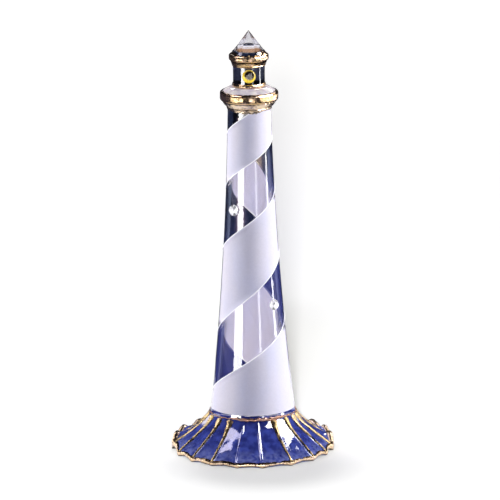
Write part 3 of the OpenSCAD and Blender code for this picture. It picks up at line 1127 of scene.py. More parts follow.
    def rib(self, number: int) -> Piece:
        """Makes one gilded rib that runs down a ridge and thins towards the rim.

        Args:
            number: Number of the ridge.

        Returns:
            The new object.
        """
        rings = []
        middle = self.ridge_turn(number)
        for along in (i / self.rib_steps for i in range(self.rib_steps + 1)):
            s = self.rib_from + (self.rib_to - self.rib_from) * along
            shift = self.rib_sway.at((number * 3.0, 5 * along, 1.0)) * ease(0, 0.3, along)
            base, _ = self.surface(s, middle)
            turn = middle + math.degrees(shift / base)
            wide = self.rib_w + self.rib_w_top * (1 - along)**self.rib_w_power
            wide *= self.rib_w_lumps.at((number, 14 * along, 7.0))
            wide *= ease(-0.02, 0.05, along) * (1 + self.rib_w_behind * ease(*self.rib_turns, apart(middle)))
            tall = self.rib_h - self.rib_h_loss * along + self.rib_h_lumps.at((number, 9 * along, 2.0))
            ring = []
            for across, up in circle(10):
                spot = turn + math.degrees(wide * across / base)
                radius, height = self.surface(s, spot, -(0.02 + tall * max(-0.3, up)))
                ring.append(around(min(radius, self.gold_r), spot, max(0.1, height)))
            rings.append(ring)
        # Marks painted shade along both sides and the underside of the rib.
        edges = [1.0, 0.2, 0.0, 0.0, 0.2, 1.0, 1.0, 1.0, 1.0, 1.0]
        return strand(f"rib_{number}", rings, False, edges=edges)

    def ribs(self) -> Piece:
        """Makes the gilded ribs, on every ridge but the plain ones at the front."""
        return joined("foot_rib_gold", [self.rib(n) for n in range(self.count) if n not in self.plain])

    def neck(self) -> Piece:
        """Makes the thin, scribbled line of gold round the neck, thickest a little right of the front.

        Returns:
            The new object.
        """
        count = 720
        rings = []
        for turn in (360 * i / count for i in range(count)):
            middle = self.neck_at + self.neck_wave * math.sin(math.radians(self.neck_waves * turn))
            middle += self.neck_scribble.at(around(9, turn, 0))
            front = ease(*self.neck_turns, apart(turn, self.neck_middle))
            thick = self.neck_t + self.neck_t_front * front + self.neck_t_lumps.at(around(20, turn, 0))
            ring = [self.surface(middle + thick * c / self.neck_scale, turn, -(0.1 + 0.7 * thick * s))
                    for c, s in circle(8)]
            rings.append([around(r, turn, z) for r, z in ring])
        return strand("foot_neck_gold", rings, True)


@dataclass
class Gallery:
    """Clear glass disc on the tower's mouth, with its gilded edge, collar and mouth line.

    Attributes:
        run: How far the collar's gold runs down onto the tower, and run_front what the front has more.
    """

    tower: TowerShape
    disc_r: float = 12.3
    edge_t: float = 4.2
    collar_h: float = 2.4
    collar_bow: float = 1.4
    rise: float = 1.8
    plug_l: float = 4.0
    cement_t: float = 0.15
    gold_t: float = 0.2
    edge_r: float = 1.1
    lantern_r: float = 6.75
    fuse: float = 0.06
    rim_coat: Lumps = Lumps(0.07, 2.2, 1.0)
    rim_tuck: Lumps = Lumps(0.5, 2.2, mean=0.75)
    run: float = 0.7
    run_front: float = 1.3
    run_turns: Pair = (62, 12)
    run_middle: float = -6.0
    run_lumps: Lumps = Lumps(0.7, 2.4)
    run_drops: Lumps = Lumps(0.5, 0.9, 5.0)
    run_least: float = 0.25
    run_edge: Lumps = Lumps(0.1, 1.0)
    collar_coat: Lumps = Lumps(0.12, 1.3, 2.0, 0.2)
    mouth_line_h: Lumps = Lumps(0.25, 1.6, 8.0, 0.9)
    mouth_line_t: Lumps = Lumps(0.05, 1.1, mean=0.14)

    def __post_init__(self) -> None:
        """Works out where the disc's edge starts and ends, and the heights that follow."""
        self.shoulder = self.disc_r - self.edge_r
        self.edge_z = self.tower.mouth_z + self.collar_h
        self.top_z = self.edge_z + self.edge_t
        self.lantern_z = self.top_z + self.rise

    def edge(self, shrink: float) -> Profile:
        """Gives the rounded edge from its underside to its top, drawn in by shrink."""
        return rounded(self.disc_r, self.edge_z, self.top_z, self.edge_r, shrink)

    def glass(self) -> Piece:
        """Makes the disc with its collar, its plug and its domed top.

        Returns:
            The new object.
        """
        plug_r = self.tower.mouth_r - self.tower.wall - self.cement_t
        mouth_z, top_z = self.tower.mouth_z + self.fuse, self.top_z - self.gold_t
        low = mouth_z - self.plug_l
        plug = [(0.0, low), (plug_r - 0.3, low), (plug_r, low + 0.3), (plug_r, mouth_z)]
        rise = [bowed((self.tower.mouth_r, mouth_z), (self.shoulder, self.edge_z), self.collar_bow, t)
                for t in (0, 0.25, 0.5, 0.75)]
        top = [(self.shoulder + (self.lantern_r + 0.3 - self.shoulder) * t,
                top_z + (self.lantern_z - top_z) * math.sin(math.pi / 2 * t))
               for t in (0.2, 0.4, 0.6, 0.8, 1.0)]
        section = plug + rise + self.edge(self.gold_t) + top + [(0.0, self.lantern_z)]
        return turned("gallery_glass", lambda turn: section, 160, 50)

    def rim_gold(self) -> Piece:
        """Makes the gold on the disc's edge, brushed on unevenly.

        Returns:
            The new object.
        """
        inner, outer = self.edge(self.gold_t - STEP), self.edge(0.0)

        def section(turn: float) -> Profile:
            """Gives the section, with a ragged end on top of the disc."""
            end = (inner[-1][0] - self.rim_tuck.at(around(6, turn, 0)), self.top_z + 0.05)
            return brushed(outer, turn, self.rim_coat) + [end] + inner[::-1]

        # Marks painted shade on the underside and the top of the gold, and on its hidden inner face, leaving
        # the side bright.
        painted_outline = [1.0, 1.0, 0.8, 0.35, 0.0, 0.0, 0.0, 0.0, 0.0, 0.0, 0.1, 0.45, 0.9, 1.0, 1.0, 1.0]
        return turned("gallery_rim_gold", section, 240, 70, painted_outline + [1.0] * (1 + len(inner)))

    def collar_gold(self) -> Piece:
        """Makes the rosy gold on the collar, with a ragged lower edge that runs down onto the tower.

        Returns:
            The new object.
        """
        tower, steps = self.tower, 8

        def section(turn: float) -> Profile:
            """Gives the section, which reaches furthest down a little left of the front.

            Args:
                turn: Angle in degrees to the right of the front.

            Returns:
                The section's corners, as radius and height.
            """
            spot = around(9, turn, 0)
            run = self.run + self.run_front * ease(*self.run_turns, apart(turn, self.run_middle))
            run += self.run_lumps.at(spot) + self.run_drops.at(spot)
            back = [bowed((tower.mouth_r, tower.mouth_z), (self.shoulder, self.edge_z),
                          self.collar_bow, i / steps) for i in range(steps + 1)]
            puffs = [self.collar_coat.at(around(r, turn, z)) for r, z in back]
            face = [(r + puff, z - puff * 0.8) for (r, z), puff in zip(back, puffs)]
            lower = tower.mouth_z - max(self.run_least, run)
            edge = tower.radius(lower)
            foot = [(edge + 0.26, lower + 0.02), (edge + 0.27, lower),
                    (edge + 0.36 + self.run_edge.at(spot), lower + 0.3)]
            head = [(r + STEP, z + self.fuse) for r, z in reversed(back)]
            return foot + face + head + [(tower.mouth_r + 0.26, tower.mouth_z - 0.1)]

        return turned("collar_gold", section, 300, 70)

    def mouth_gold(self) -> Piece:
        """Makes the thin line of gold round the tower's mouth.

        Returns:
            The new object.
        """

        def section(turn: float) -> Profile:
            """Gives the section, a tall and thin oval.

            Args:
                turn: Angle in degrees to the right of the front.

            Returns:
                The section's corners, as radius and height.
            """
            spot = around(9, turn, 0)
            drop, thick = self.mouth_line_h.at(spot), self.mouth_line_t.at(spot)
            return [(self.tower.mouth_r + 0.28 + thick * c, self.tower.mouth_z - drop / 2 + 0.5 * drop * s)
                    for c, s in circle(10)]

        return turned("mouth_gold", section, 240, 80)


@dataclass
class Lantern:
    """Dark lantern glass, its gilded lines, and the brim and cut roof above it.

    Attributes:
        foot_line: Where the line at the foot begins and ends, and how far it stands out.
        head_line: The same for the line under the brim.
        coat: Unevenness of the gold on the brim, whose reach the other fields with coat_ set.
        stone_h: Height of the amber stone's middle above the lantern's foot.
    """

    foot_z: float
    glass_r: float = 6.75
    glass_h: float = 9.1
    waist: float = 0.12
    brim_r: float = 8.4
    brim_t: float = 2.8
    brim_edge_r: float = 0.9
    taper_h: float = 2.0
    taper_bow: float = 1.3
    bevel_h: float = 1.3
    roof_r: float = 6.45
    roof_h: float = 8.4
    roof_faces: int = 6
    tip_r: float = 0.12
    arris: float = 0.09
    gold_t: float = 0.2
    fuse: float = 0.06
    seat_t: float = 0.03
    foot_line: tuple[float, float, float] = (0.0, 1.6, 0.32)
    head_line: tuple[float, float, float] = (-0.35, 0.45, 0.34)
    line_h: Lumps = Lumps(0.06, 1.5, mean=0.5)
    line_t: Lumps = Lumps(0.3, 1.2, 6.0, 1.0)
    coat: Lumps = Lumps(0.06, 1.8, 3.0)
    coat_foot: Lumps = Lumps(0.05, 1.6, mean=0.06)
    coat_head: float = 0.12
    coat_sides: float = 0.8
    coat_turns: Pair = (30, 58)
    coat_lumps: Lumps = Lumps(0.12, 1.4)
    seat_in: float = 0.25
    seat_lumps: Lumps = Lumps(0.12, 1.2)
    stone_h: float = 5.4

    def __post_init__(self) -> None:
        """Works out where the brim's edge starts, and the heights of brim and roof."""
        self.shoulder = self.brim_r - self.brim_edge_r
        self.brim_z = self.foot_z + self.glass_h
        self.edge_z = self.brim_z + self.taper_h
        self.brim_top_z = self.edge_z + self.brim_t
        self.roof_z = self.brim_top_z + self.bevel_h

    def rod(self) -> Piece:
        """Makes the lantern's rod, drawn in a little at its waist.

        Returns:
            The new object.
        """
        low, high, steps = self.foot_z - self.fuse, self.brim_z + self.fuse, 12
        wall = [(self.glass_r - self.waist * math.sin(math.pi * i / steps), low + (high - low) * i / steps)
                for i in range(steps + 1)]
        return turned("lantern_rod", lambda turn: [(0.0, low)] + wall + [(0.0, high)], 128, 40)

    def line(self, name: str, start: float, sizes: tuple[float, float, float]) -> Piece:
        """Makes an uneven gilded line round the lantern.

        Args:
            name: Name of the object.
            start: Height from which it is measured.
            sizes: Where it begins and ends above start, and how far it stands out.

        Returns:
            The new object.
        """
        low, high, proud = start + sizes[0], start + sizes[1], sizes[2]
        middle, back = (low + high) / 2, self.glass_r - STEP

        def section(turn: float) -> Profile:
            """Gives the section, half an oval on the glass.

            Args:
                turn: Angle in degrees to the right of the front.

            Returns:
                The section's corners, as radius and height.
            """
            spot = around(7, turn, low)
            tall = (high - low) * self.line_h.at(spot)
            thick = proud * self.line_t.at(spot)
            face = [(self.glass_r + thick * c, middle + tall * s) for c, s in arc((0, 0), 1, -90, 90, 10)]
            return face + [(back, middle + tall), (back, middle - tall)]

        # Marks painted shade along the line's lower and upper edges.
        return turned(name, section, 160, 70, [1.0, 0.9, 0.5] + [0.0] * 6 + [0.3, 0.8, 1.0, 1.0])

    def brim_edge(self, shrink: float) -> Profile:
        """Gives the brim's rounded edge from its underside to its top, drawn in by shrink."""
        return rounded(self.brim_r, self.edge_z, self.brim_top_z, self.brim_edge_r, shrink)

    def taper(self, share: float, proud: float = 0.0) -> Pair:
        """Gives a point on the taper below the edge, from its foot, 0, to its head, 1."""
        r, z = bowed((self.glass_r, self.brim_z), (self.shoulder, self.edge_z), self.taper_bow, share)
        return (r + proud, z)

    def brim(self) -> Piece:
        """Makes the brim's glass, with the taper below it and the bevel above it.

        Returns:
            The new object.
        """
        section = [(0.0, self.brim_z)] + [self.taper(t) for t in (0, 0.33, 0.66)]
        section += self.brim_edge(self.gold_t) + [(self.roof_r, self.roof_z), (0.0, self.roof_z)]
        return turned("brim_glass", lambda turn: section, 128, 40)

    def brim_gold(self) -> Piece:
        """Makes the gold on the brim's edge, brushed on unevenly.

        Returns:
            The new object.
        """
        inner, outer = self.brim_edge(self.gold_t - STEP), self.brim_edge(0.0)
        top = 0.96

        def section(turn: float) -> Profile:
            """Gives the section, from low on the taper to high on the bevel, and higher at the sides.

            Args:
                turn: Angle in degrees to the right of the front.

            Returns:
                The section's corners, as radius and height.
            """
            foot = self.coat_foot.at(around(5, turn, 0))
            below = [self.taper(foot + (top - foot) * i / 4, 0.19 if i else 0.05) for i in range(5)]
            high = self.coat_head + self.coat_sides * ease(*self.coat_turns, apart(turn))
            high += self.coat_lumps.at(around(5, turn, 9))
            bevel = [(inner[-1][0] - high + p, self.brim_top_z + 1.24 * high + p) for p in (0.1, -0.05)]
            hidden = [self.taper(top, -STEP), self.taper(foot, -STEP)]
            return below + brushed(outer, turn, self.coat) + bevel + inner[::-1] + hidden

        # Marks painted shade at the taper's ends, under and over the brim's edge, and on the hidden faces.
        edges = [1.0, 0.3, 0.0, 0.4, 1.0, 1.0, 0.7, 0.2] + [0.0] * 9 + [0.3, 0.8, 0.9, 0.6, 0.6]
        return turned("brim_rim_gold", section, 200, 70, edges + [1.0] * (len(inner) + 3))

    def seat_gold(self) -> Piece:
        """Makes the film of gold that the cut roof stands in, and that shows through it.

        Returns:
            The new object.
        """
        step = 360 / self.roof_faces
        low, high = self.roof_z - self.fuse, self.roof_z + self.seat_t

        def section(turn: float) -> Profile:
            """Gives the section, which stays a little inside the roof's flat sides.

            Args:
                turn: Angle in degrees to the right of the front.

            Returns:
                The section's corners, as radius and height.
            """
            off_middle = (turn + step / 2) % step - step / 2
            flat = math.cos(math.radians(step / 2)) / math.cos(math.radians(off_middle))
            reach = self.roof_r * flat - self.seat_in + self.seat_lumps.at(around(5, turn, 3))
            return [(0.0, low), (reach, low), (reach, high), (0.0, high)]

        return turned("roof_seat_gold", section, 180, 30)

    def roof(self) -> Piece:
        """Makes the cut pyramid, with its slanting edges very slightly rounded.

        Returns:
            The new object.
        """
        count = self.roof_faces
        points = [around(r, 360 * (i + 0.5) / count, z)
                  for r, z in ((self.roof_r, self.roof_z), (self.tip_r, self.roof_z + self.roof_h))
                  for i in range(count)]
        caps = [list(range(count)), list(reversed(range(count, 2 * count)))]
        made = solid("roof_pyramid", points, woven(2, count, False, True) + caps, 5)
        work = bmesh.new()
        work.from_mesh(made.data)
        slants = [e for e in work.edges if abs(e.verts[0].co.z - e.verts[1].co.z) > MM]
        bmesh.ops.bevel(work, geom=slants, offset=self.arris * MM, segments=2, affect="EDGES")
        work.to_mesh(made.data)
        work.free()
        return made


@dataclass
class Stone:
    """Brilliant-cut stone on a wall, in a foil cup, in millimetres and degrees.

    Attributes:
        radius: Distance from the axis to the wall.
        table: Radius of its top face as a share of the stone's. So are kite_r, cup_r and back.
        kite_h: Height of the kites' side corners as a share of the crown's.
    """

    name: str
    size: float
    radius: float
    turn: float
    height: float
    tilt: float = 0.0
    bed_t: float = 0.15
    foil_t: float = 0.12
    girdle: float = 0.5
    girdle_t: float = 0.12
    crown: float = 1.1
    table: float = 0.55
    kite_r: float = 0.8
    kite_h: float = 0.52
    cup_r: float = 0.99
    cup_top: float = 0.16
    cup_edge: float = 0.24
    back: float = 0.3

    def ring(self, share: float, z: float, count: int = 16, start: float = 0.0) -> list[Point]:
        """Gives corners round the stone's own axis, share of its radius out and z above the foil's back.

        Args:
            share: Distance from the stone's own axis, as a share of its radius.
            z: Height above the foil's back.
            count: Number of corners.
            start: Angle of the first corner in degrees.

        Returns:
            The corners, where the stone sits on its wall.
        """
        matrix = (Matrix.Rotation(math.radians(self.turn), 4, "Z")
                  @ Matrix.Translation((0, -self.radius - self.bed_t, self.height))
                  @ Matrix.Rotation(math.radians(90 - self.tilt), 4, "X"))
        r = self.size / 2 * share
        angles = [math.radians(start + 360 * i / count) for i in range(count)]
        return [tuple(matrix @ Vector((r * math.cos(a), r * math.sin(a), z))) for a in angles]

    def cut(self) -> Piece:
        """Makes the stone: table, stars, kites and halves above the girdle, a shallow pavilion below it.

        Returns:
            The new object.
        """
        waist = self.foil_t + self.girdle
        points = self.ring(self.table, waist + self.crown, 8)
        points += self.ring(self.kite_r, waist + self.kite_h * self.crown, 8, 22.5)
        points += self.ring(1.0, waist) + self.ring(1.0, waist - self.girdle_t)
        points += self.ring(self.back, self.foil_t + STEP, 8)
        t, m, u, w, b = 0, 8, 16, 32, 48
        faces: list[list[int]] = [list(range(8)), [b + i for i in reversed(range(8))]]
        for i in range(8):
            n, one, two, three = (i + 1) % 8, 2 * i, 2 * i + 1, (2 * i + 2) % 16
            faces += [[t + i, m + i, t + n], [t + i, m + (i - 1) % 8, u + one, m + i],
                      [m + i, u + one, u + two], [m + i, u + two, u + three],
                      [w + one, b + i, w + two], [w + two, b + i, b + n], [w + two, b + n, w + three]]
        faces += [[u + j, w + j, w + (j + 1) % 16, u + (j + 1) % 16] for j in range(16)]
        return solid(self.name, points, faces, 3)

    def cup(self) -> Piece:
        """Makes the foil: a thin faceted cup under the pavilion.

        Returns:
            The new object.
        """
        rim = self.foil_t + self.girdle
        spots = ((self.cup_r, rim - self.cup_top), (self.back, self.foil_t), (self.back, STEP),
                 (self.cup_r, STEP), (1.0, rim - self.cup_edge))
        faces = [f for f in woven(5, 16, True, True) if min(f) < 16 or max(f) >= 48]
        faces += [list(range(16, 32)), list(reversed(range(32, 48)))]
        return solid(f"{self.name}_cup", [p for share, z in spots for p in self.ring(share, z)], faces, 3)


class Role(Enum):
    """What a lamp is for."""

    GLOSS = "seen in all reflections but those of the foot's gilding"
    STREAK = "seen in all reflections but those of gilding"
    TRIM = "seen in all reflections but those of the tower's and lantern's glass and the head's gilding"
    CROWN = "seen in the reflections of the head's gilding alone"
    HEM = "seen in the reflections of the foot's gilding alone"
    FILL = "lights the object and isn't seen"
    SHADOW = "lights the floor alone, past the object"
    FLAGGED = "lights the floor alone, past a small flag over the object's foot"


MIRRORED = (Role.GLOSS, Role.STREAK, Role.TRIM, Role.CROWN, Role.HEM)
WATTS_A_METRE = 4.0
CREAM = (1.0, 0.98, 0.95)
PEACH = (1.0, 0.94, 0.86)
SUN = (1.0, 0.97, 0.88)


def link(chosen: bpy.types.Collection, piece: Piece, wanted: bool) -> None:
    """Adds a piece to a lamp's collection, as one that it reaches or as one that it leaves out.

    Args:
        chosen: The lamp's collection.
        piece: The piece.
        wanted: Whether the light reaches the piece.
    """
    chosen.objects.link(piece)
    if not wanted:
        chosen.collection_objects[-1].light_linking.link_state = "EXCLUDE"


@dataclass(frozen=True)
class Panel:
    """Soft rectangular lamp round the set, facing the object, in metres and degrees.

    Attributes:
        level: Its strength, where 1 is WATTS_A_METRE for each square metre.
        upright: Whether it stands upright rather than leaning towards the point at aim_z.
    """

    name: str
    turn: float
    distance: float
    width: float
    low: float
    high: float
    level: float
    role: Role
    colour: Colour = (1.0, 1.0, 1.0)
    upright: bool = False
    aim_z: float = 0.06

    def lamp(self, floor: Piece, flag: Piece) -> None:
        """Makes the lamp.

        Args:
            floor: The floor, which only the lamps for shadows light.
            flag: The small card that a flagged lamp shines past.
        """
        light = bpy.data.lights.new(self.name, "AREA")
        light.shape = "RECTANGLE"
        light.size = self.width
        light.size_y = self.high - self.low
        light.energy = WATTS_A_METRE * self.level * light.size * light.size_y
        light.color = self.colour
        made = added(self.name, light)
        made.location = around(self.distance, self.turn, (self.low + self.high) / 2)
        aim = Vector((0, 0, self.aim_z)) - made.location
        if self.upright:
            aim.z = 0.0
        made.rotation_euler = aim.to_track_quat("-Z", "Y").to_euler()
        made.visible_camera = False
        made.visible_transmission = False
        made.visible_glossy = self.role in MIRRORED
        made.visible_diffuse = not made.visible_glossy
        chosen = bpy.data.collections.new(f"{self.name}_lights")
        made.light_linking.receiver_collection = chosen
        if self.role not in (Role.CROWN, Role.HEM):
            link(chosen, floor, self.role in (Role.SHADOW, Role.FLAGGED))
        stopping = bpy.data.collections.new(f"{self.name}_stops_at")
        link(stopping, flag, self.role is Role.FLAGGED)
        made.light_linking.blocker_collection = stopping


@dataclass
class Studio:
    """Pale floor, white surround, dark cards that deepen gold and glass, soft lamps and camera. Metres."""

    aim: Point = (-0.00038, 0.0, 0.08594)
    eye: Point = (0.0, -2.38918, 0.64913)
    lens: float = 420.5
    roll: float = -0.66
    ambient: Colour = (0.165, 0.165, 0.23)
    floor_half: float = 3.0
    floor_drop: float = 0.00002
    floor_glow: Colour = (1.0, 0.99, 0.87)
    floor_glow_near: Colour = (1.0, 0.98, 0.2)
    floor_near: float = 0.045
    floor_rise: float = 0.63
    floor_far: float = 0.95
    screens: tuple[Pair, ...] = ((0.16, 0.0005), (1.3, 0.0005), (1.4, 1.2), (0.0, 1.5))
    hood: tuple[Pair, ...] = ((1.45, 1.0), (1.3, 1.3), (0.0, 1.45))
    front: tuple[Pair, ...] = ((0.09, 0.0005), (1.2, 0.0005))
    front_reach: int = 115
    flag_r: float = 0.034
    flag_place: Point = (0.005, -0.026, 0.04)
    lamps: tuple[Panel, ...] = (
        Panel("left_streak", -45.5, 0.40, 0.20, 0.0, 0.13, 18.0, Role.STREAK, upright=True),
        Panel("right_line", 27.5, 0.40, 0.045, 0.0, 0.13, 8.0, Role.STREAK, upright=True),
        Panel("side_line", 87.0, 0.40, 0.06, 0.0, 0.13, 14.0, Role.STREAK, upright=True),
        Panel("upper_right", 90.0, 0.46, 0.36, 0.24, 0.58, 18.0, Role.GLOSS),
        Panel("upper_left", -80.0, 0.27, 0.17, 0.42, 0.60, 7.0, Role.GLOSS, (0.85, 0.8, 1.0)),
        Panel("over_back", 170.0, 0.7, 0.7, 0.5, 0.62, 9.0, Role.GLOSS, (1.0, 0.95, 0.9)),
        Panel("low_left", -65.0, 0.5, 0.55, 0.02, 0.06, 3.5, Role.TRIM, (1.0, 0.92, 0.85)),
        Panel("low_front", 2.0, 0.6, 0.5, 0.0, 0.05, 9.0, Role.TRIM, PEACH),
        Panel("low_right", 65.0, 0.5, 0.6, 0.02, 0.07, 4.0, Role.TRIM, (1.0, 0.94, 0.88)),
        Panel("behind_left", -125.0, 0.5, 0.5, 0.03, 0.12, 2.0, Role.TRIM, PEACH),
        Panel("behind_right", 125.0, 0.5, 0.5, 0.03, 0.12, 2.0, Role.TRIM, PEACH),
        Panel("crown_left", -50.0, 0.5, 0.5, 0.015, 0.075, 3.0, Role.CROWN, CREAM),
        Panel("crown_front", 9.0, 0.5, 0.22, 0.0, 0.06, 2.6, Role.CROWN, CREAM),
        Panel("crown_right", 90.0, 0.5, 0.95, 0.015, 0.075, 3.0, Role.CROWN, CREAM),
        Panel("hem_left", -108.0, 0.5, 0.3, 0.2, 0.75, 1.8, Role.HEM, CREAM),
        Panel("hem_right", 108.0, 0.5, 0.4, 0.2, 0.75, 2.2, Role.HEM, CREAM),
        Panel("glint", 54.0, 0.45, 0.15, 0.22, 0.56, 20.0, Role.GLOSS),
        Panel("left_fill", -98.0, 0.9, 0.6, 0.1, 0.9, 9.2, Role.FILL, SUN),
        Panel("right_fill", 86.0, 0.9, 0.6, 0.1, 0.9, 10.8, Role.FILL, (1.0, 0.985, 0.93)),
        Panel("back_fill", 180.0, 1.2, 1.2, 0.1, 1.1, 13.0, Role.FILL, SUN),
        Panel("far_shadow", -1.1, 2.4, 0.09, 0.62, 0.725, 2350.0, Role.SHADOW),
        Panel("near_shadow", -5.0, 1.6, 0.12, 1.2, 1.32, 150.0, Role.SHADOW),
        Panel("soft_shadow", 180.0, 0.1, 0.6, 0.7, 1.3, 3.05, Role.FLAGGED),
    )

    def camera(self) -> None:
        """Sets the camera at the photograph's height, distance and slight roll."""
        data = bpy.data.cameras.new("view")
        data.lens = self.lens
        data.sensor_width = 36.0
        data.clip_end = 20.0
        made = added("view", data)
        turn = (Vector(self.aim) - Vector(self.eye)).to_track_quat("-Z", "Y").to_matrix().to_4x4()
        made.matrix_world = (Matrix.Translation(self.eye) @ turn
                             @ Matrix.Rotation(math.radians(self.roll), 4, "Z"))
        bpy.context.scene.camera = made

    def world(self) -> None:
        """Makes the surround: an even light, and white where it is seen, mirrored or met through glass."""
        weave = Weave("surround", world=True)
        even = weave.node("Background", {"Color": self.ambient})
        white = weave.node("Background", {"Color": (1.0, 1.0, 1.0)})
        bpy.context.scene.world = weave.done(weave.node("MixShader", {0: weave.seen(), 1: even, 2: white}))

    def floor(self) -> Piece:
        """Makes the pale floor, which keeps the object's shadow and goes over into white far off.

        Returns:
            The new object.
        """
        weave = Weave("floor")
        grain = weave.blend(weave.noise(40.0, 3.0), (0.86, 0.86, 0.87), (0.88, 0.88, 0.885))
        away = weave.away()
        lift = weave.maths("MINIMUM", self.floor_far,
                           weave.maths("MULTIPLY_ADD", away, self.floor_rise, self.floor_near))
        tint = weave.blend(weave.span(away, 0.0, 0.4), self.floor_glow_near, self.floor_glow)
        strength = weave.maths("MULTIPLY", weave.seen(), lift)
        glow = weave.node("Emission", {"Color": tint, "Strength": strength})
        matt = weave.node("BsdfDiffuse", {"Color": grain})
        mesh = bpy.data.meshes.new("floor")
        half = self.floor_half
        mesh.from_pydata([(-half, -half, 0), (half, -half, 0), (half, half, 0), (-half, half, 0)],
                         [], [[0, 1, 2, 3]])
        mesh.materials.append(weave.done(weave.node("AddShader", {0: matt, 1: glow})))
        made = added("floor", mesh)
        made.location.z = -self.floor_drop
        return made

    @staticmethod
    def card(name: str, line: Sequence[Pair], reach: int = 180, **seen: bool) -> Piece:
        """Makes a dark card bent round the axis, which only some rays meet.

        Args:
            name: Name of the card.
            line: Its section, as radius and height.
            reach: How far it goes to either side of the front, in degrees.
            seen: Which kinds of ray meet it.

        Returns:
            The card.
        """
        weave = Weave(name)
        finish = weave.done(weave.node("BsdfDiffuse", {"Color": (0.012, 0.012, 0.02)}))
        inside = [(r / MM, z / MM) for r, z in line]
        wider, thick = 1.01, 0.2
        outside = [(r * wider, z * wider + thick) for r, z in reversed(inside)]
        rings = [[around(r, turn, z) for r, z in inside + outside] for turn in range(-reach, reach, 5)]
        made = strand(name, rings, reach == 180)
        made.data.materials.append(finish)
        for kind in ("camera", "diffuse", "glossy", "transmission", "shadow"):
            setattr(made, f"visible_{kind}", seen.get(kind, False))
        return made

    def build(self) -> None:
        """Sets up the view, the surround, the floor, the dark cards and the lamps."""
        self.camera()
        self.world()
        floor = self.floor()
        self.card("screens", self.screens, glossy=True)
        self.card("hood", self.hood, transmission=True)
        self.card("front", self.front, self.front_reach, transmission=True)
        flag = self.card("flag", [(0.0, 0.0), (self.flag_r, 0.0)], shadow=True)
        flag.location = self.flag_place
        for panel in self.lamps:
            panel.lamp(floor, flag)
        bpy.context.scene.view_settings.view_transform = "Standard"

    def reach(self, piece: Piece, wanted: bool, *roles: Role) -> None:
        """Lets the lamps of some roles into a piece's reflections, or keeps them out.

        Args:
            piece: The piece.
            wanted: Whether the light reaches the piece.
            roles: Roles of the lamps.
        """
        for panel in self.lamps:
            if panel.role in roles:
                link(bpy.data.collections[f"{panel.name}_lights"], piece, wanted)


def set_stone(stone: Stone, glass: TintedGlass, foil: Foil, slots: Sequence[Slot], nodes: str,
              bed: Finish) -> None:
    """Builds a stone and the foil behind it, and dresses the cement that it sits in.

    Args:
        stone: The stone.
        glass: Its glass.
        foil: Its foil.
        slots: Material slots of the stone and of the foil.
        nodes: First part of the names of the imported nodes.
        bed: Finish of the cement.
    """
    place(stone.cut(), slots[0], glass.material(), f"{nodes}_stone")
    place(stone.cup(), slots[1], foil.material(), f"{nodes}_foil")
    dress(f"{nodes}_cement", bed)


def build_tower(studio: Studio, shape: TowerShape, bed: Finish) -> None:
    """Builds the tower, its band and its two clear stones.

    Args:
        studio: The studio, with its lamps.
        shape: Outline of the tower.
        bed: Finish of the cement.
    """
    spiral = Spiral(shape)
    tower = Tower(shape, spiral)
    wall = place(tower.glass(), Slot.TOWER, PaintedBackdropGlass().material(True), "tower_tube")
    tower.clear_bands(wall.data, PaintedBackdropGlass().material(False))
    studio.reach(wall, False, Role.TRIM)
    place(tower.band(), Slot.ETCHED, EtchedGlass().material(), "etched_spiral")
    glass = TintedGlass("clear_stone", (0.97, 0.97, 1.0), (0.93, 0.94, 1.0), 1.55)
    for side, strip, turn, share in (("upper", 0, -40.0, 0.59), ("lower", 1, 44.0, 0.47)):
        height = spiral.window(strip, turn, share)
        radius = shape.radius(height)
        stone = Stone(f"{side}_stone", 4.6, radius, turn, height, shape.tilt(height))
        # Each foil's dark middle, off to the upper right, is a painted reflection, and the foil glows a little
        # as painted light.
        foil = Foil(f"{side}_silver", (0.95, 0.94, 0.96), (0.02, 0.02, 0.03),
                    around(radius, turn + 4.5, height + 0.3), 1.0, 0.25, 0.45)
        set_stone(stone, glass, foil, (Slot.CLEAR_STONE, Slot.SILVER_FOIL), f"{side}_window", bed)


def build_foot(studio: Studio, shape: TowerShape) -> None:
    """Builds the pleated foot and its gilding, and lets the gilding reflect its own lamps.

    Args:
        studio: The studio, with its lamps.
        shape: Outline of the tower.
    """
    foot = Foot(shape)
    place(foot.glass(), Slot.COBALT, CobaltGlass().material(), "base_skirt")
    bead = FiredGold("bead_gold", (0.94, 0.70, 0.46), (0.95, 0.73, 0.60), matt=0.05, burn=0.54)
    fine = FiredGold("rib_gold", (0.82, 0.60, 0.28), (0.86, 0.66, 0.42), matt=0.1)
    rosy = FiredGold("rosy_gold", (0.62, 0.34, 0.24), (0.70, 0.44, 0.36), below=0.2, matt=0.15)
    parts = ((foot.rim(), bead, "rim"), (foot.ribs(), fine, "rib"), (foot.neck(), rosy, "neck"))
    for made, finish, part in parts:
        gilding = place(made, Slot.GOLD, finish.material(), f"skirt_{part}_gilding")
        studio.reach(gilding, False, Role.STREAK, Role.GLOSS)
        studio.reach(gilding, True, Role.HEM)


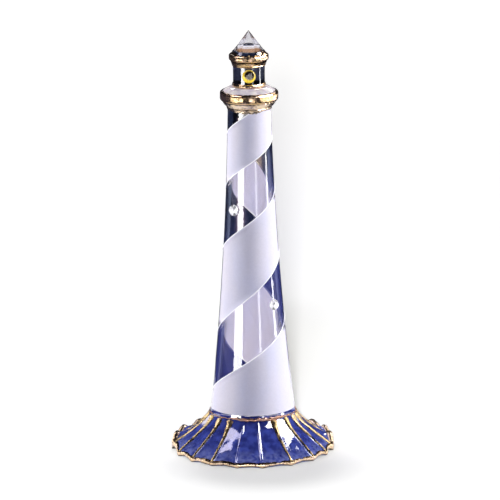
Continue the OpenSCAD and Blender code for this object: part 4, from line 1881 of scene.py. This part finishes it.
def build_head(studio: Studio, shape: TowerShape, bed: Finish) -> None:
    """Builds the gallery, the lantern with its amber stone, and the roof.

    Args:
        studio: The studio, with its lamps.
        shape: Outline of the tower.
        bed: Finish of the cement.
    """

    def gild(made: Piece, finish: Finish, node: str) -> None:
        """Places a piece of gilding and lets it reflect the head's own lamps.

        Args:
            made: The new object.
            finish: Its finish.
            node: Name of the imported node.
        """
        gilding = place(made, Slot.GOLD, finish, node)
        studio.reach(gilding, False, Role.STREAK, Role.TRIM)
        studio.reach(gilding, True, Role.CROWN)

    gold = FiredGold(below=0.4).material()
    pale = FiredGold("pale_gold", (0.84, 0.66, 0.46), (0.86, 0.70, 0.60), depth=0.12, below=0.1).material()
    gallery = Gallery(shape)
    clear = TintedGlass("gallery_glass", (0.96, 0.93, 0.96), (0.66, 0.58, 0.76), cloud=0.5)
    place(gallery.glass(), Slot.CLEAR, clear.material(), "gallery_disc")
    gild(gallery.rim_gold(), gold, "gallery_rim_gilding")
    gild(gallery.collar_gold(), pale, "gallery_collar_gilding")
    gild(gallery.mouth_gold(), pale, "tower_mouth_gilding")
    dress("gallery_cement", bed)

    lantern = Lantern(gallery.lantern_z)
    dark = TintedGlass("lantern_glass", (0.012, 0.014, 0.034), (0.04, 0.045, 0.075))
    rod = place(lantern.rod(), Slot.LANTERN, dark.material(), "lantern_glass")
    studio.reach(rod, False, Role.TRIM)
    for part, start, sizes in (("foot", lantern.foot_z, lantern.foot_line),
                               ("head", lantern.brim_z, lantern.head_line)):
        gild(lantern.line(f"lantern_{part}_gold", start, sizes), gold, f"lantern_{part}_gilding")
    navy = TintedGlass("brim_glass", (0.06, 0.09, 0.22), (0.03, 0.04, 0.10), cloud=0.2)
    place(lantern.brim(), Slot.CLEAR, navy.material(), "roof_brim")
    gild(lantern.brim_gold(), gold, "brim_rim_gilding")
    # The seat's gold middle towards the front and its bright stripes are painted reflections of the brim, seen
    # in the roof's lower part.
    seat = Foil("seat_gold", (0.97, 0.96, 1.0), (0.44, 0.18, 0.02), (0, -3.2, lantern.roof_z), 8.8, 0.1,
                painted_reflection_stripes=1.5)
    place(lantern.seat_gold(), Slot.GOLD, seat.material())
    roof = TintedGlass("roof_glass", (0.97, 0.96, 1.0), (0.88, 0.87, 0.97), 1.25)
    place(lantern.roof(), Slot.ROOF, roof.material(), "roof_crystal")

    height = lantern.foot_z + lantern.stone_h
    stone = Stone("amber_stone", 5.6, lantern.glass_r, 0.0, height)
    amber = TintedGlass("amber_stone", (1.0, 0.94, 0.5), (1.0, 0.88, 0.4), 1.3)
    # The foil's near-black middle is a painted reflection in the stone's top face, and the foil glows a little
    # as painted light.
    foil = Foil("amber_foil", (1.0, 0.80, 0.24), (0.006, 0.003, 0.008),
                around(lantern.glass_r, 2, height + 0.4), 2.9, 0.1, 0.5)
    set_stone(stone, amber, foil, (Slot.AMBER_STONE, Slot.GOLD_FOIL), "lamp", bed)


def main() -> None:
    """Builds the set and every sub-assembly, and writes down how large the result is."""
    logging.basicConfig(level=logging.INFO, format="%(name)s: %(message)s")
    studio = Studio()
    studio.build()
    shape = TowerShape()
    bed = Cement().material()
    build_tower(studio, shape, bed)
    build_foot(studio, shape)
    build_head(studio, shape, bed)


if __name__ == "__main__":
    main()
